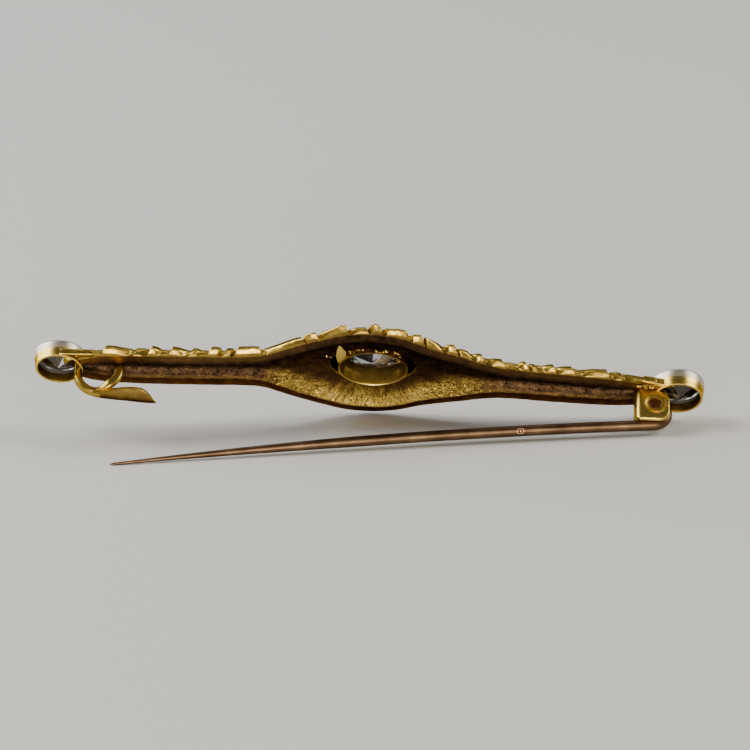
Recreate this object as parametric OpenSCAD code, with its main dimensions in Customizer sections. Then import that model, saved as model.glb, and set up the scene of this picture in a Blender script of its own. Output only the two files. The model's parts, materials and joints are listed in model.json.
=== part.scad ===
// Diamond bar brooch, seen from its back: +X runs along the bar, +Y is the side of the stones,
// +Z is up from the surface that the brooch lies on. All sizes are in millimetres.
// The pieces are drawn upright in the brooch's own frame and leaned onto the surface at the end.

/* [Bar] */
// Half width of the bar at its widest, without the leaf tips
belly_half_w = 6.4; // [6:0.1:6.8]
// Half width of the arms, without the leaf tips
arm_half_w = 2.35; // [2.2:0.05:2.6]
// Width of the flat border around the hollow
border_w = 1.0; // [0.8:0.05:1.1]
// Depth of the hollow behind the widest part
hollow_depth = 1.2; // [1.0:0.05:1.4]
// Thickness of the metal in front of the hollow
wall_t = 0.85; // [0.7:0.05:1.0]
// Thickness of the border at its outer edge
edge_t = 0.6; // [0.5:0.05:0.7]
// How far the leaves stand up from the front
leaf_relief = 0.22; // [0.15:0.01:0.28]
// How far the ends of the bar are bent back from the middle
end_bow = 1.05; // [0.9:0.05:1.2]

/* [Settings] */
// Radius of the left end collet at its back rim
left_r = 2.3; // [2.2:0.02:2.36]
// Radius of the right end collet at its back rim
right_r = 2.42; // [2.36:0.02:2.48]
// Height of an end collet with its white metal front
collet_h = 1.75; // [1.65:0.05:1.85]
// Half length of the oval centre collet
centre_rx = 3.42; // [3.3:0.02:3.54]
// Half width of the oval centre collet
centre_rv = 2.76; // [2.66:0.02:2.86]
// Height of the centre collet
centre_h = 2.9; // [2.7:0.05:3.1]

/* [Catch] */
// Outer radius of the catch loop
loop_r = 2.44; // [2.4:0.02:2.5]
// Thickness of the loop's strip
strip_t = 0.9; // [0.8:0.05:0.95]
// Half width of the tongue at its widest
tongue_half_w = 1.0; // [0.9:0.05:1.1]

/* [Pin and hinge] */
// Radius of the pin at its root
pin_r = 0.53; // [0.5:0.01:0.54]
// Radius of the pin at its point
tip_r = 0.12; // [0.1:0.01:0.15]
// Radius of the hinge rivet
rivet_r = 0.62; // [0.6:0.01:0.65]
// Clearance between the rivet and the pin's eye
hinge_gap = 0.05; // [0.03:0.01:0.07]
// How far the pin stands open, in degrees from the line of the bar
pin_open = 8.3; // [7.5:0.1:9]

/* [Hidden] */

gold = "#d9b04a";
white_metal = "#d8dade";
rose_gold = "#c9926b";
dark_gold = "#7a5230";
diamond = "#e8f2f6";

left_x = -30.5;
right_x = 29.8;
collet_back = 1.1;
centre_back = -0.42;
hinge_x = 27.5;
hinge_b = 2.53;
loop_x = -26.6;
loop_b = 1.46;
pin_offset = 1.85;
pin_len = 53.0;
pin_bow = 0.6;
plate_in = 0.58;
plate_out = 1.08;
notch_w = 0.06;

// A point of the brooch from its place along the bar, up across it, and out behind it.
function at(x, v, b) = [x, -b, v];

// Outline of the bar, as a share of the way from the arms' half width to the belly's.
// Columns: place along the bar, share.
outline = [
    [-29.2, -0.30], [-27.0, -0.10], [-24.0, -0.02], [-16.8, 0.0], [-12.6, 0.01],
    [-10.6, 0.08], [-8.7, 0.31], [-6.9, 0.53], [-4.8, 0.75], [-2.6, 0.94],
    [-0.2, 1.0], [2.4, 0.90], [4.9, 0.63], [6.8, 0.46], [8.8, 0.31],
    [11.0, 0.12], [13.2, 0.02], [18.0, 0.0], [24.0, -0.06], [28.4, -0.26]
];

// Leaves along the bar, each with a tip at both edges.
// Columns: start, end, how far it passes the edge at its start, the same at its end.
leaves = [
    [-29.3, -27.0, 0.03, 0.03], [-26.3, -23.4, 0.34, 0.03], [-21.7, -20.7, 0.30, 0.07],
    [-19.9, -18.3, 0.32, 0.07], [-17.4, -16.7, 0.04, 0.07], [-16.0, -15.1, 0.34, 0.34],
    [-14.6, -13.9, 0.14, 0.17], [-13.5, -11.2, 0.28, 0.28], [-10.6, -7.0, 0.17, 0.22],
    [-6.7, -5.6, 0.24, 0.18], [-5.2, -2.8, 0.12, 0.42], [-2.4, -0.7, 0.12, 0.14],
    [-0.4, 0.5, 0.44, 0.44], [0.9, 3.2, 0.20, 0.16], [3.6, 5.0, 0.17, 0.32],
    [5.4, 7.0, 0.28, 0.07], [7.3, 8.3, 0.26, 0.20], [8.7, 9.9, 0.08, 0.12],
    [10.3, 11.4, 0.20, 0.20], [11.8, 13.4, 0.22, 0.14], [13.9, 15.5, 0.08, 0.24],
    [15.9, 16.6, 0.16, 0.10], [17.6, 18.7, 0.24, 0.20], [19.0, 20.3, 0.12, 0.08],
    [20.7, 24.0, 0.03, 0.20], [24.6, 28.2, 0.03, 0.03]
];

// A smooth curve through the rows of a two-column table.
function row_of(t, x, i = 0) = (i >= len(t) - 2 || x < t[i + 1][0]) ? i : row_of(t, x, i + 1);
function slope(t, i) =
    let(a = max(i - 1, 0), b = min(i + 1, len(t) - 1))
    (t[b][1] - t[a][1]) / (t[b][0] - t[a][0]);
function smooth(t, x) =
    let(
        i = row_of(t, x),
        h = t[i + 1][0] - t[i][0],
        s = min(max((x - t[i][0]) / h, 0), 1)
    )
    (1 + 2 * s) * (1 - s) * (1 - s) * t[i][1] + s * (1 - s) * (1 - s) * h * slope(t, i)
    + s * s * (3 - 2 * s) * t[i + 1][1] - s * s * (1 - s) * h * slope(t, i + 1);

// The bar's half width, the set-back of its border and the depth of its hollow at a place along it.
function half_w(x) = arm_half_w + (belly_half_w - arm_half_w) * smooth(outline, x);
function border_b(x) = end_bow * (1 - exp(-(x / 17) * (x / 17)));
function hollow_w(x) = half_w(x) - border_w;
function hollow_d(x) = hollow_depth * (1 - exp(-hollow_w(x) / 0.8));

// The front surface of the bar: t runs from the lower edge at -1 to the upper edge at +1.
function front_b(x, t) =
    let(low = border_b(x) - 0.2 - edge_t, high = border_b(x) - hollow_d(x) - wall_t)
    high + (low - high) * pow(abs(t), 2.4);

// One cross section of the bar: over the front, around the lower edge, through the hollow and back.
// A leaf there reaches past the edge by its rise, and stands raised on the front where k is 1.
function bar_ring(x, rise = 0, k = 0) =
    let(w = half_w(x) + rise, hw = hollow_w(x), b = border_b(x), d = hollow_d(x))
    concat(
        [for (t = [1, 0.85, 0.6, 0.3, 0, -0.3, -0.6, -0.85, -1])
            at(x, (w - 0.08) * t, front_b(x, t) - leaf_relief * k * min(1, 2.2 * abs(t)))],
        [at(x, -w, b - 0.2), at(x, -hw, b)],
        [for (s = [-0.9, -0.7, -0.35, 0, 0.35, 0.7, 0.9]) at(x, hw * s, b - d * (1 - pow(abs(s), 3.4)))],
        [at(x, hw, b), at(x, w, b - 0.2)]
    );

// The cross sections of one leaf: a notch, its two ends, its middle and the next notch.
function leaf_rings(row) =
    let(x0 = row[0], x1 = row[1], mid = (x0 + x1) / 2)
    [
        bar_ring(x0 - notch_w), bar_ring(x0 + notch_w, row[2], 0.8),
        bar_ring(mid, (row[2] + row[3]) / 2 + 0.04, 1),
        bar_ring(x1 - notch_w, row[3], 0.8), bar_ring(x1 + notch_w)
    ];

function reversed(list) = [for (i = [len(list) - 1:-1:0]) list[i]];

// A closed skin over a row of rings that have the same number of points.
module skin(rings) {
    n = len(rings[0]);
    m = len(rings);
    polyhedron(
        points = [for (r = rings) for (p = r) p],
        faces = concat(
            [[for (j = [0:n - 1]) j]],
            [for (i = [0:m - 2]) for (j = [0:n - 1])
                [i * n + j, (i + 1) * n + j, (i + 1) * n + (j + 1) % n]],
            [for (i = [0:m - 2]) for (j = [0:n - 1])
                [i * n + j, (i + 1) * n + (j + 1) % n, i * n + (j + 1) % n]],
            [[for (j = [n - 1:-1:0]) (m - 1) * n + j]]
        ),
        convexity = 8
    );
}

// Turns a shape drawn around +Z so that its axis points out of the back, at a place on the brooch.
module facing_back(x, v, b) {
    translate(at(x, v, b)) rotate([90, 0, 0]) children();
}

// The hollow bar: a skin over the leaves' cross sections. It is pierced by the opening of the centre
// collet, and its ends stop inside the walls of the end collets.
module leaf_bar() {
    difference() {
        skin(reversed(concat([for (row = leaves) each leaf_rings(row)], [bar_ring(28.6)])));
        facing_back(0, 0, -5) scale([4.24, centre_rv - 0.1, 1]) rotate([0, 0, 6.1])
            cylinder(r = 1, h = 10, $fn = 40);
        facing_back(left_x, 0, -5) rotate([0, 0, 2.3]) cylinder(r = left_r - 0.13, h = 10, $fn = 40);
        facing_back(right_x, 0, -5) rotate([0, 0, 2.3]) cylinder(r = right_r - 0.13, h = 10, $fn = 40);
    }
}

// Gold back half of an end collet: a tapered tube, open behind the stone. It is turned a little, so
// that its flats cross those of the bar cleanly.
module end_collet(x, r, turn) {
    mid = collet_h / 2;
    facing_back(x, 0, collet_back - collet_h) rotate([0, 0, turn]) rotate_extrude($fn = 40)
        polygon([[r + 0.11, mid + 0.02], [r, collet_h], [r - 0.24, collet_h], [r - 0.3, mid + 0.02]]);
}

// White metal front half of an end collet, with its lip rubbed over the stone.
module end_rim(x, r) {
    mid = collet_h / 2;
    facing_back(x, 0, collet_back - collet_h) rotate_extrude()
        polygon([
            [r - 0.58, 0], [r + 0.12, 0], [r + 0.23, 0.12], [r + 0.12, mid - 0.02],
            [r - 0.26, mid - 0.02], [r - 0.26, 0.34], [r - 0.5, 0.14]
        ]);
}

// Oval gold collet of the centre stone, standing free at its left and right.
module centre_collet() {
    facing_back(0, 0, centre_back - centre_h) scale([1, centre_rv / centre_rx, 1])
        rotate([0, 0, 0.8]) rotate_extrude($fn = 48)
        polygon([
            [centre_rx - 0.85, 0], [centre_rx - 0.1, 0], [centre_rx + 0.06, 0.2], [centre_rx, centre_h],
            [centre_rx - 0.3, centre_h], [centre_rx - 0.38, 0.52], [centre_rx - 0.74, 0.2]
        ]);
}

// Outline of one limb of the catch loop, in the plane of the pin's swing: a bent strip and its leg.
// The strip reaches from x0 to x1 around the loop's middle, and its leg stands at leg_x.
module limb_outline(r, t, x0, x1, leg_x, leg) {
    intersection() {
        difference() {
            circle(r, $fn = 48);
            circle(r - t, $fn = 48);
        }
        translate([x0, -r]) square([x1 - x0, r]);
    }
    translate([leg_x, -0.25]) square([t, leg + 0.25]);
}

// Catch: one limb of the loop runs on into the tongue, the other stands beside the pin's way.
module catch() {
    r2 = loop_r - 0.07;
    t2 = strip_t - 0.1;
    translate(at(loop_x, -0.55, loop_b)) linear_extrude(1.1)
        limb_outline(loop_r, strip_t, -loop_r - 1, 0.55, -loop_r - 0.03, 1.0);
    translate(at(loop_x, 0.42, loop_b)) linear_extrude(0.6)
        limb_outline(r2, t2, 0.12, r2 + 1, r2 - t2 + 0.03, 1.8);
    tongue();
}

// Rounded gutter that holds the closed pin down. Columns: place along the bar, half width.
tongue_rows = [
    [-27.3, 0.5], [-26.2, 0.55], [-25.2, 0.7], [-24.2, 0.92], [-23.2, 1.0], [-22.2, 0.95], [-21.3, 0.8]
];
module tongue() {
    out_b = loop_b + loop_r - 0.06;
    skin([for (row = reversed(tongue_rows))
        let(w = row[1] * tongue_half_w)
        concat(
            [for (t = [-1, -0.6, -0.2, 0.2, 0.6, 1])
                at(row[0] - 0.3 * t * (row[0] + 27.3) / 6, w * t, out_b - 0.42 * w * t * t)],
            [for (t = [1, 0.6, 0.2, -0.2, -0.6, -1])
                at(row[0] - 0.3 * t * (row[0] + 27.3) / 6, (w - 0.08) * t, out_b - 0.38 - 0.42 * w * t * t)]
        )
    ]);
}

// Outline of the joint's plates, in the plane of the pin's swing.
module joint_outline() {
    hull() {
        translate([-1.3, -3.75 + hinge_b]) circle(0.4, $fn = 16);
        translate([-1.3, 2.3]) circle(0.4, $fn = 16);
        translate([0.85, -3.75 + hinge_b]) circle(0.72, $fn = 20);
        translate([0.85, 0.72]) circle(0.72, $fn = 20);
        translate([-0.2, 2.3]) circle(0.2, $fn = 16);
    }
}

// Folded hinge joint on its base: two plates that share a fold on the side of the pin's shank.
module hinge_joint() {
    difference() {
        translate([hinge_x, -hinge_b, -plate_out]) linear_extrude(2 * plate_out) joint_outline();
        translate([hinge_x - 1.2, -hinge_b - 3, -plate_in]) cube([4, 6, 2 * plate_in]);
        translate([hinge_x - 3, -hinge_b - 3, -plate_in]) cube([4, 1.75, 2 * plate_in]);
        translate([hinge_x, -hinge_b, -3]) rotate([0, 0, 3]) cylinder(r = rivet_r + 0.005, h = 6, $fn = 36);
    }
    translate([hinge_x - 1.75, -1.02, -plate_out - 0.06]) cube([1.74, 1.3, 2 * plate_out + 0.12]);
}

// An old-cut stone: flat table, eight-sided crown and pavilion, small culet. Its table faces -Z.
module old_cut(r, crown, pavilion, k = 1) {
    scale([1, k, 1]) hull() {
        translate([0, 0, -crown]) rotate([0, 0, 22.5]) cylinder(r = r * 0.56, h = 0.02, $fn = 8);
        translate([0, 0, -crown * 0.45]) cylinder(r = r * 0.84, h = 0.02, $fn = 8);
        translate([0, 0, -0.04]) rotate([0, 0, 11.25]) cylinder(r = r, h = 0.08, $fn = 16);
        translate([0, 0, pavilion * 0.55]) rotate([0, 0, 22.5]) cylinder(r = r * 0.56, h = 0.02, $fn = 8);
        translate([0, 0, pavilion - 0.02]) cylinder(r = r * 0.12, h = 0.02, $fn = 8);
    }
}

// The pin in its own frame: eye at the origin, shank along -X on the line of the bar.
function shank(s) = [-0.25 - s, -(pin_offset - 4 * pin_bow * (s / pin_len) * (1 - s / pin_len)), 0];
function shank_r(s) =
    let(k = s / pin_len)
    k < 0.6 ? pin_r - 0.06 * k / 0.6 : pin_r - 0.06 - (pin_r - 0.06 - tip_r) * pow((k - 0.6) / 0.4, 1.3);
shank_stops = [0, 0.1, 0.2, 0.35, 0.5, 0.62, 0.74, 0.84, 0.92, 0.97, 1];

// The path of the pin's wire with its radius: a short round start, the bend, then the shank.
bend_r = 1.4;
function bend(a) = [bend_r * cos(a) - 0.25, bend_r * sin(a) - (pin_offset - bend_r), 0];
wire = concat(
    [[bend(24), pin_r * 0.45], [bend(18), pin_r * 0.85]],
    [for (a = [6:-14:-78]) [bend(a), pin_r]],
    [for (k = shank_stops) [shank(k * pin_len), shank_r(k * pin_len)]]
);
function wire_ring(i) =
    let(
        p = wire[i][0],
        r = wire[i][1],
        d = wire[min(i + 1, len(wire) - 1)][0] - wire[max(i - 1, 0)][0],
        side = [-d[1], d[0], 0] / norm(d)
    )
    [for (j = [0:11]) p + r * (cos(30 * j + 15) * side + sin(30 * j + 15) * [0, 0, 1])];

module pin_upright() {
    difference() {
        translate([0, 0, -0.5]) cylinder(r = 1.1, h = 1);
        translate([0, 0, -1]) cylinder(r = rivet_r + hinge_gap, h = 2);
    }
    difference() {
        skin([for (i = [0:len(wire) - 1]) wire_ring(i)]);
        translate([0, 0, -1]) cylinder(r = 0.9, h = 2);
    }
}

module pin_placed() {
    translate([hinge_x, -hinge_b, 0]) rotate([0, 0, pin_open]) pin_upright();
}

// The brooch lies on three points: a leaf tip below the middle, a corner of the joint's lower plate
// and the point of the pin. The surface is the plane that touches a ball at each of them.
function turned(p) = [
    hinge_x + p[0] * cos(pin_open) - p[1] * sin(pin_open),
    -hinge_b + p[0] * sin(pin_open) + p[1] * cos(pin_open),
    p[2]
];
low_row = leaves[12];
low_x = (low_row[0] + low_row[1]) / 2;
touch = [
    at(low_x, -(half_w(low_x) + low_row[3] + 0.04), border_b(low_x) - 0.2),
    at(hinge_x + 0.85, -plate_out, 3.75 + 0.72),
    turned(shank(pin_len))
];
touch_r = [0, 0, tip_r];
function unit(v) = v / norm(v);
function plane_up(a, b, c) = let(n = unit(cross(b - a, c - a))) n[2] < 0 ? -n : n;
function ball(i, u) = touch[i] - touch_r[i] * u;
function settle(u, k) = k == 0 ? u : settle(plane_up(ball(0, u), ball(1, u), ball(2, u)), k - 1);
up = settle([0, 0, 1], 8);
along = unit([1, 0, 0] - up[0] * up);
across = cross(up, along);
drop = up * touch[0] - touch_r[0];

// Moves the brooch so that the origin is on the surface, under the middle of its box.
middle = [0.32, 2.55];

module leaned() {
    multmatrix([
        [along[0], along[1], along[2], middle[0]],
        [across[0], across[1], across[2], middle[1]],
        [up[0], up[1], up[2], -drop]
    ]) children();
}

// The soldered gold. The empty resize() joins its pieces as one mesh, because they cross the leaves
// in many places.
module frame() {
    color(gold) leaned() resize([0, 0, 0]) union() {
        leaf_bar();
        end_collet(left_x, left_r, 4.4);
        end_collet(right_x, right_r, 0.7);
        centre_collet();
        catch();
        hinge_joint();
    }
}

module rim_left() {
    color(white_metal) leaned() end_rim(left_x, left_r);
}

module rim_right() {
    color(white_metal) leaned() end_rim(right_x, right_r);
}

module stone_left() {
    color(diamond) leaned() facing_back(left_x, 0, -0.2) old_cut(left_r - 0.3, 0.5, 1.05);
}

module stone_right() {
    color(diamond) leaned() facing_back(right_x, 0, -0.2) old_cut(right_r - 0.3, 0.5, 1.05);
}

module stone_centre() {
    color(diamond) leaned() facing_back(0, 0, centre_back - centre_h + 0.62)
        old_cut(centre_rx - 0.46, 0.95, 1.6, centre_rv / centre_rx);
}

module rivet() {
    color(dark_gold) leaned() translate([hinge_x, -hinge_b, -plate_out - 0.03])
        cylinder(r = rivet_r, h = 2 * plate_out + 0.06);
}

module pin() {
    color(rose_gold) leaned() pin_placed();
}

frame();
rim_left();
rim_right();
stone_left();
stone_centre();
stone_right();
rivet();
pin();
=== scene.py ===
# %% [markdown]
# # A diamond bar brooch, leaning on its open pin and seen from its back
#
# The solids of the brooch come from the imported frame. This lesson dresses them: it builds the chased
# leaves, the hollow behind them, the collets, the cut stones, the catch, the joint and the pin again
# with the detail that a goldsmith's work has, and gives each its metal or stone.

# %% The frame
import json
import math

import bmesh
import bpy
import numpy as np
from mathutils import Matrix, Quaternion, Vector, noise


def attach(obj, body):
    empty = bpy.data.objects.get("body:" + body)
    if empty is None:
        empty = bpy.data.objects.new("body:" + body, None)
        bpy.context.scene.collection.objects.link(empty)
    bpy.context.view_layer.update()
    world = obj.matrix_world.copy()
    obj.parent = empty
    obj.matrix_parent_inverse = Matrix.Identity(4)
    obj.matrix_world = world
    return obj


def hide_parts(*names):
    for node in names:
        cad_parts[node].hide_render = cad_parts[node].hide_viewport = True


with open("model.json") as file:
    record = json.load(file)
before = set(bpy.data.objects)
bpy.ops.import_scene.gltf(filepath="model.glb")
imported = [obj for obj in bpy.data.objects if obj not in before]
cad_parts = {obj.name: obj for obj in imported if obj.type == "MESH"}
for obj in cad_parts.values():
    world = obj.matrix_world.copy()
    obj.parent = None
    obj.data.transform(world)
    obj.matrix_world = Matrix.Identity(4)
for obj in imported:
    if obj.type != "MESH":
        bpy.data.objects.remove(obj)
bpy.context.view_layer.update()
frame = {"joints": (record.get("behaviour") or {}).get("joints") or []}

# %% [markdown]
# ## The brooch's own frame
#
# The brooch leans on a leaf tip, a corner of its joint and the point of its pin, so nothing on it is
# level. A goldsmith would hold it flat in the hand, and so does this script: every piece is worked out
# in millimetres with `x` along the bar, `v` up across it and `b` out of its back, and one function
# leans the finished points onto the floor in metres. The joint of the frame tells whether it is right.

# %% From the brooch's own frame to the floor
# which way is up in the brooch's own frame, as (x, -b, v), and where the middle of its bar lies
UP = Vector((-0.068977, 0.584354, 0.808562))
ALONG = (Vector((1, 0, 0)) - UP.x * UP).normalized()
ACROSS = UP.cross(ALONG)
LEAN = np.array([ALONG, ACROSS, UP])
SHIFT = np.array([0.32, 2.55, 5.4408])


def place(points):
    """Points (x, v, b) in millimetres, leaned onto the floor and turned to metres."""
    p = np.asarray(points, float).reshape(-1, 3)
    local = np.stack([p[:, 0], -p[:, 2], p[:, 1]], axis=1)
    return (local @ LEAN.T + SHIFT) * 0.001


HINGE_X, HINGE_B = 27.5, 2.53
hinge = frame["joints"][0]
miss = np.abs(place([HINGE_X, 0, HINGE_B])[0] - np.array(hinge["pos_m"])).max()
print(f"the hinge is {miss * 1e6:.2f} micrometres from the frame's own")

# %% [markdown]
# ## Camera
#
# Jewellery is photographed from far off with a long lens, so there is hardly any perspective: the
# camera stands 420 mm away and looks down a little less than 20 degrees.

# %% Camera
VIEW_DOWN, VIEW_ROLL = math.radians(18.4), math.radians(-1.02)
VIEW_WIDTH, VIEW_DISTANCE = 0.0731, 0.42
TARGET = Vector((0.00054, 0.0026, 0.0054))
back = Vector((0, -math.cos(VIEW_DOWN), math.sin(VIEW_DOWN)))
lens = bpy.data.cameras.new("Camera")
lens.sensor_width = 36.0
lens.lens = 36.0 * VIEW_DISTANCE / VIEW_WIDTH
lens.clip_start, lens.clip_end = 0.01, 20.0
camera = bpy.data.objects.new("Camera", lens)
camera.location = TARGET + back * VIEW_DISTANCE
camera.rotation_mode = "QUATERNION"
camera.rotation_quaternion = (-back).to_track_quat("-Z", "Y") @ Quaternion((0, 0, 1), VIEW_ROLL)
bpy.context.scene.collection.objects.link(camera)
bpy.context.scene.camera = camera
print(f"lens of {lens.lens:.0f} mm, {VIEW_WIDTH * 1000:.1f} mm across the picture")

# %% [markdown]
# ## Colours, nodes and materials in short
#
# A shader takes colours as linear light, so a hex colour as a painter picks it goes through one
# function first. One more adds a node with its settings and its links, so that each material below
# reads from top to bottom like a recipe. Object coordinates are metres, and the patterns on jewellery
# are counted by the millimetre, so a third function turns one into the other.


# %% Colours and nodes
def linear(hex_colour):
    """An sRGB hex colour as the linear values that a shader takes."""
    rgb = [int(hex_colour[i:i + 2], 16) / 255 for i in (1, 3, 5)]
    return tuple(c / 12.92 if c <= 0.04045 else ((c + 0.055) / 1.055) ** 2.4 for c in rgb) + (1.0,)


def node(tree, kind, settings=None, inputs=None):
    """Adds a node. Its inputs are given by name or number, as plain values or as sockets to link."""
    made = tree.nodes.new(kind)
    for key, value in (settings or {}).items():
        setattr(made, key, value)
    for key, value in (inputs or {}).items():
        if isinstance(value, bpy.types.NodeSocket):
            tree.links.new(value, made.inputs[key])
        else:
            made.inputs[key].default_value = value
    return made


def per_mm(count):
    """Scale of a pattern with so many lumps to a millimetre, on Object coordinates in metres."""
    return count * 1000.0


def new_material(name):
    """An empty material and its node tree."""
    material = bpy.data.materials.new(name)
    material.use_nodes = True
    material.node_tree.nodes.clear()
    return material, material.node_tree


def set_stops(ramp, rows):
    """Colour stops of a ramp, as rows of place and hex colour."""
    stops = ramp.color_ramp.elements
    while len(stops) > 1:
        stops.remove(stops[-1])
    stops[0].position, stops[0].color = rows[0][0], linear(rows[0][1])
    for position, colour in rows[1:]:
        stops.new(position).color = linear(colour)

# %% [markdown]
# ## Floor
#
# The brooch lies on pale paper. It is a plain square far larger than the picture, so that its edge
# never shows. Paper isn't a flat colour: short fibres give it a tooth that catches the light softly.

# %% Floor
paper, tree = new_material("pale_paper")
spot = node(tree, "ShaderNodeTexCoord")
fibres = node(tree, "ShaderNodeTexNoise", inputs={
    "Vector": spot.outputs["Object"], "Scale": per_mm(1.5), "Detail": 4.0})
tooth = node(tree, "ShaderNodeBump", inputs={
    "Strength": 0.15, "Distance": 0.0001, "Height": fibres.outputs[0]})
paper_shader = node(tree, "ShaderNodeBsdfPrincipled", inputs={
    "Base Color": linear("#CAC8C4"), "Roughness": 0.7, "Normal": tooth.outputs[0]})
node(tree, "ShaderNodeOutputMaterial", inputs={"Surface": paper_shader.outputs[0]})

FLOOR_HALF = 3.0
floor_mesh = bpy.data.meshes.new("floor")
corners = [(x * FLOOR_HALF, y * FLOOR_HALF, 0) for x, y in ((-1, -1), (1, -1), (1, 1), (-1, 1))]
floor_mesh.from_pydata(corners, [], [(0, 1, 2, 3)])
floor_mesh.materials.append(paper)
floor = bpy.data.objects.new("floor", floor_mesh)
bpy.context.scene.collection.objects.link(floor)

# %% [markdown]
# ## Studio light
#
# One large soft box stands at each side and one hangs behind, so the rounded metal mirrors broad light
# shapes with soft borders. A wide, weak one stands low in front: it is what the leaf tips and the lower
# slope of the hollow mirror. The room stays dim, because polished gold and cut stones need something
# dark to mirror as well, or they look like paint and milk. The two small lamps give the sparks, and
# the card at the back left fills the white rims.

# %% Lights
world = bpy.data.worlds.new("studio")
world.use_nodes = True
world.node_tree.nodes["Background"].inputs[0].default_value = linear("#AEB4BC")
world.node_tree.nodes["Background"].inputs[1].default_value = 0.2
bpy.context.scene.world = world


def soft_box(name, place_m, size, power, colour):
    """A rectangular area light that faces the brooch."""
    light = bpy.data.lights.new(name, "AREA")
    light.shape = "RECTANGLE"
    light.size, light.size_y = size
    light.energy = power
    light.color = linear(colour)[:3]
    lamp = bpy.data.objects.new(name, light)
    lamp.location = place_m
    lamp.rotation_mode = "QUATERNION"
    lamp.rotation_quaternion = (TARGET - Vector(place_m)).to_track_quat("-Z", "Y")
    bpy.context.scene.collection.objects.link(lamp)


# name, place in metres, width and height, watts, colour
LIGHTS = [
    ("soft_box_left", (-0.50, 0.05, 0.42), (0.34, 0.44), 4.0, "#FFFFFF"),
    ("soft_box_right", (0.55, 0.00, 0.36), (0.30, 0.40), 3.0, "#FFFAF0"),
    ("soft_box_back", (-0.05, 0.36, 0.58), (0.50, 0.20), 0.95, "#FFFFFF"),
    ("soft_box_front", (0.02, -0.62, 0.15), (0.50, 0.20), 2.4, "#FFF8EA"),
    ("lamp_front", (0.12, -0.50, 0.42), (0.05, 0.05), 0.4, "#FFF4E0"),
    ("lamp_low", (-0.04, -0.55, 0.055), (0.10, 0.04), 1.5, "#FFF4E0"),
    ("card_back_left", (-0.46, 0.30, 0.15), (0.16, 0.20), 1.6, "#FFFFFF")]
for row in LIGHTS:
    soft_box(*row)
print(len(LIGHTS), "lights of", sum(row[3] for row in LIGHTS), "watts in all")

# %% [markdown]
# ## A skin over cross sections
#
# Most pieces here are skins over a row of cross sections, as a potter's or a shipwright's forms are. So
# one function makes such a skin from an array of rings, and another turns its faces the right way out
# and shades them smooth, up to a sharp angle where an edge should show.


# %% Skins
def finish_mesh(mesh, sharp=None):
    """Merges doubles, points the faces outwards and shades them smooth, up to a sharp angle."""
    work = bmesh.new()
    work.from_mesh(mesh)
    bmesh.ops.remove_doubles(work, verts=work.verts, dist=1e-8)
    bmesh.ops.recalc_face_normals(work, faces=work.faces)
    work.to_mesh(mesh)
    work.free()
    mesh.polygons.foreach_set("use_smooth", [True] * len(mesh.polygons))
    if sharp is not None:
        mesh.set_sharp_from_angle(angle=math.radians(sharp))
    return mesh


def skin(name, rings, sharp=None, values=None, closed=False):
    """A skin over rings of points: an array of rings by points by (x, v, b), in millimetres.
    values are numbers for each point, kept as attributes for the materials to read. A closed skin
    runs on from its last ring to its first, and any other gets a cap at each end."""
    rings = np.asarray(rings, float)
    m, n, _ = rings.shape
    index = np.arange(m * n).reshape(m, n)
    if closed:
        index = np.concatenate([index, index[:1]])
    nxt = np.roll(index, -1, axis=1)
    quads = np.stack([index[:-1], index[1:], nxt[1:], nxt[:-1]], axis=-1).reshape(-1, 4).tolist()
    if not closed:
        quads += [index[0].tolist(), index[-1][::-1].tolist()]
    mesh = bpy.data.meshes.new(name)
    mesh.from_pydata(place(rings).tolist(), [], quads)
    for key, numbers in (values or {}).items():
        layer = mesh.attributes.new(key, "FLOAT", "POINT")
        layer.data.foreach_set("value", np.broadcast_to(np.asarray(numbers, np.float32), (m, n)).ravel())
    return finish_mesh(mesh, sharp)

# %% [markdown]
# ## From a mesh to a piece of the brooch
#
# A finished mesh becomes a piece with its metal. It rides on a body of the frame, so that it moves with
# the pin or stays with the brooch, and the solids of the frame that it stands for are hidden.


# %% Pieces
def piece(name, mesh, material, body="brooch", stands_for=()):
    """A finished mesh becomes a piece that rides on a body and stands for CAD nodes."""
    mesh.materials.clear()
    mesh.materials.append(material)
    mesh.name = name
    made = bpy.data.objects.new(name, mesh)
    bpy.context.scene.collection.objects.link(made)
    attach(made, body)
    if stands_for:
        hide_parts(*stands_for)
    print(f"{name}: {sum(len(p.vertices) - 2 for p in mesh.polygons)} triangles")
    return made

# %% [markdown]
# ## Cutting and joining
#
# A modifier can be put into effect at once: the mesh goes on an object for a moment, and what Blender
# evaluates is taken off it as a plain mesh. That is how one mesh cuts another here. Where pieces are
# soldered and only meet, their meshes are simply put together.


# %% Cutting and joining
def with_modifier(mesh, kind, settings):
    """The mesh with one modifier put into effect; helper meshes are given as modifier settings."""
    holder = bpy.data.objects.new("holder", mesh)
    bpy.context.scene.collection.objects.link(holder)
    modifier = holder.modifiers.new(kind.lower(), kind)
    made = [holder]
    for key, value in settings.items():
        if isinstance(value, bpy.types.Mesh):
            value = bpy.data.objects.new("helper", value)
            bpy.context.scene.collection.objects.link(value)
            made.append(value)
        setattr(modifier, key, value)
    seen = holder.evaluated_get(bpy.context.evaluated_depsgraph_get())
    result = bpy.data.meshes.new_from_object(seen)
    for helper in made:
        bpy.data.objects.remove(helper)
    return result


def boolean(mesh, other, operation):
    """Two closed meshes put together, or one cut by the other."""
    return with_modifier(mesh, "BOOLEAN", {"operation": operation, "solver": "EXACT", "object": other})


def join(name, meshes, sharp=None):
    """Several meshes as one, with their attributes."""
    both = bmesh.new()
    for part in meshes:
        both.from_mesh(part)
    out = bpy.data.meshes.new(name)
    both.to_mesh(out)
    both.free()
    out.polygons.foreach_set("use_smooth", [True] * len(out.polygons))
    if sharp is not None:
        out.set_sharp_from_angle(angle=math.radians(sharp))
    return out

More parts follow.
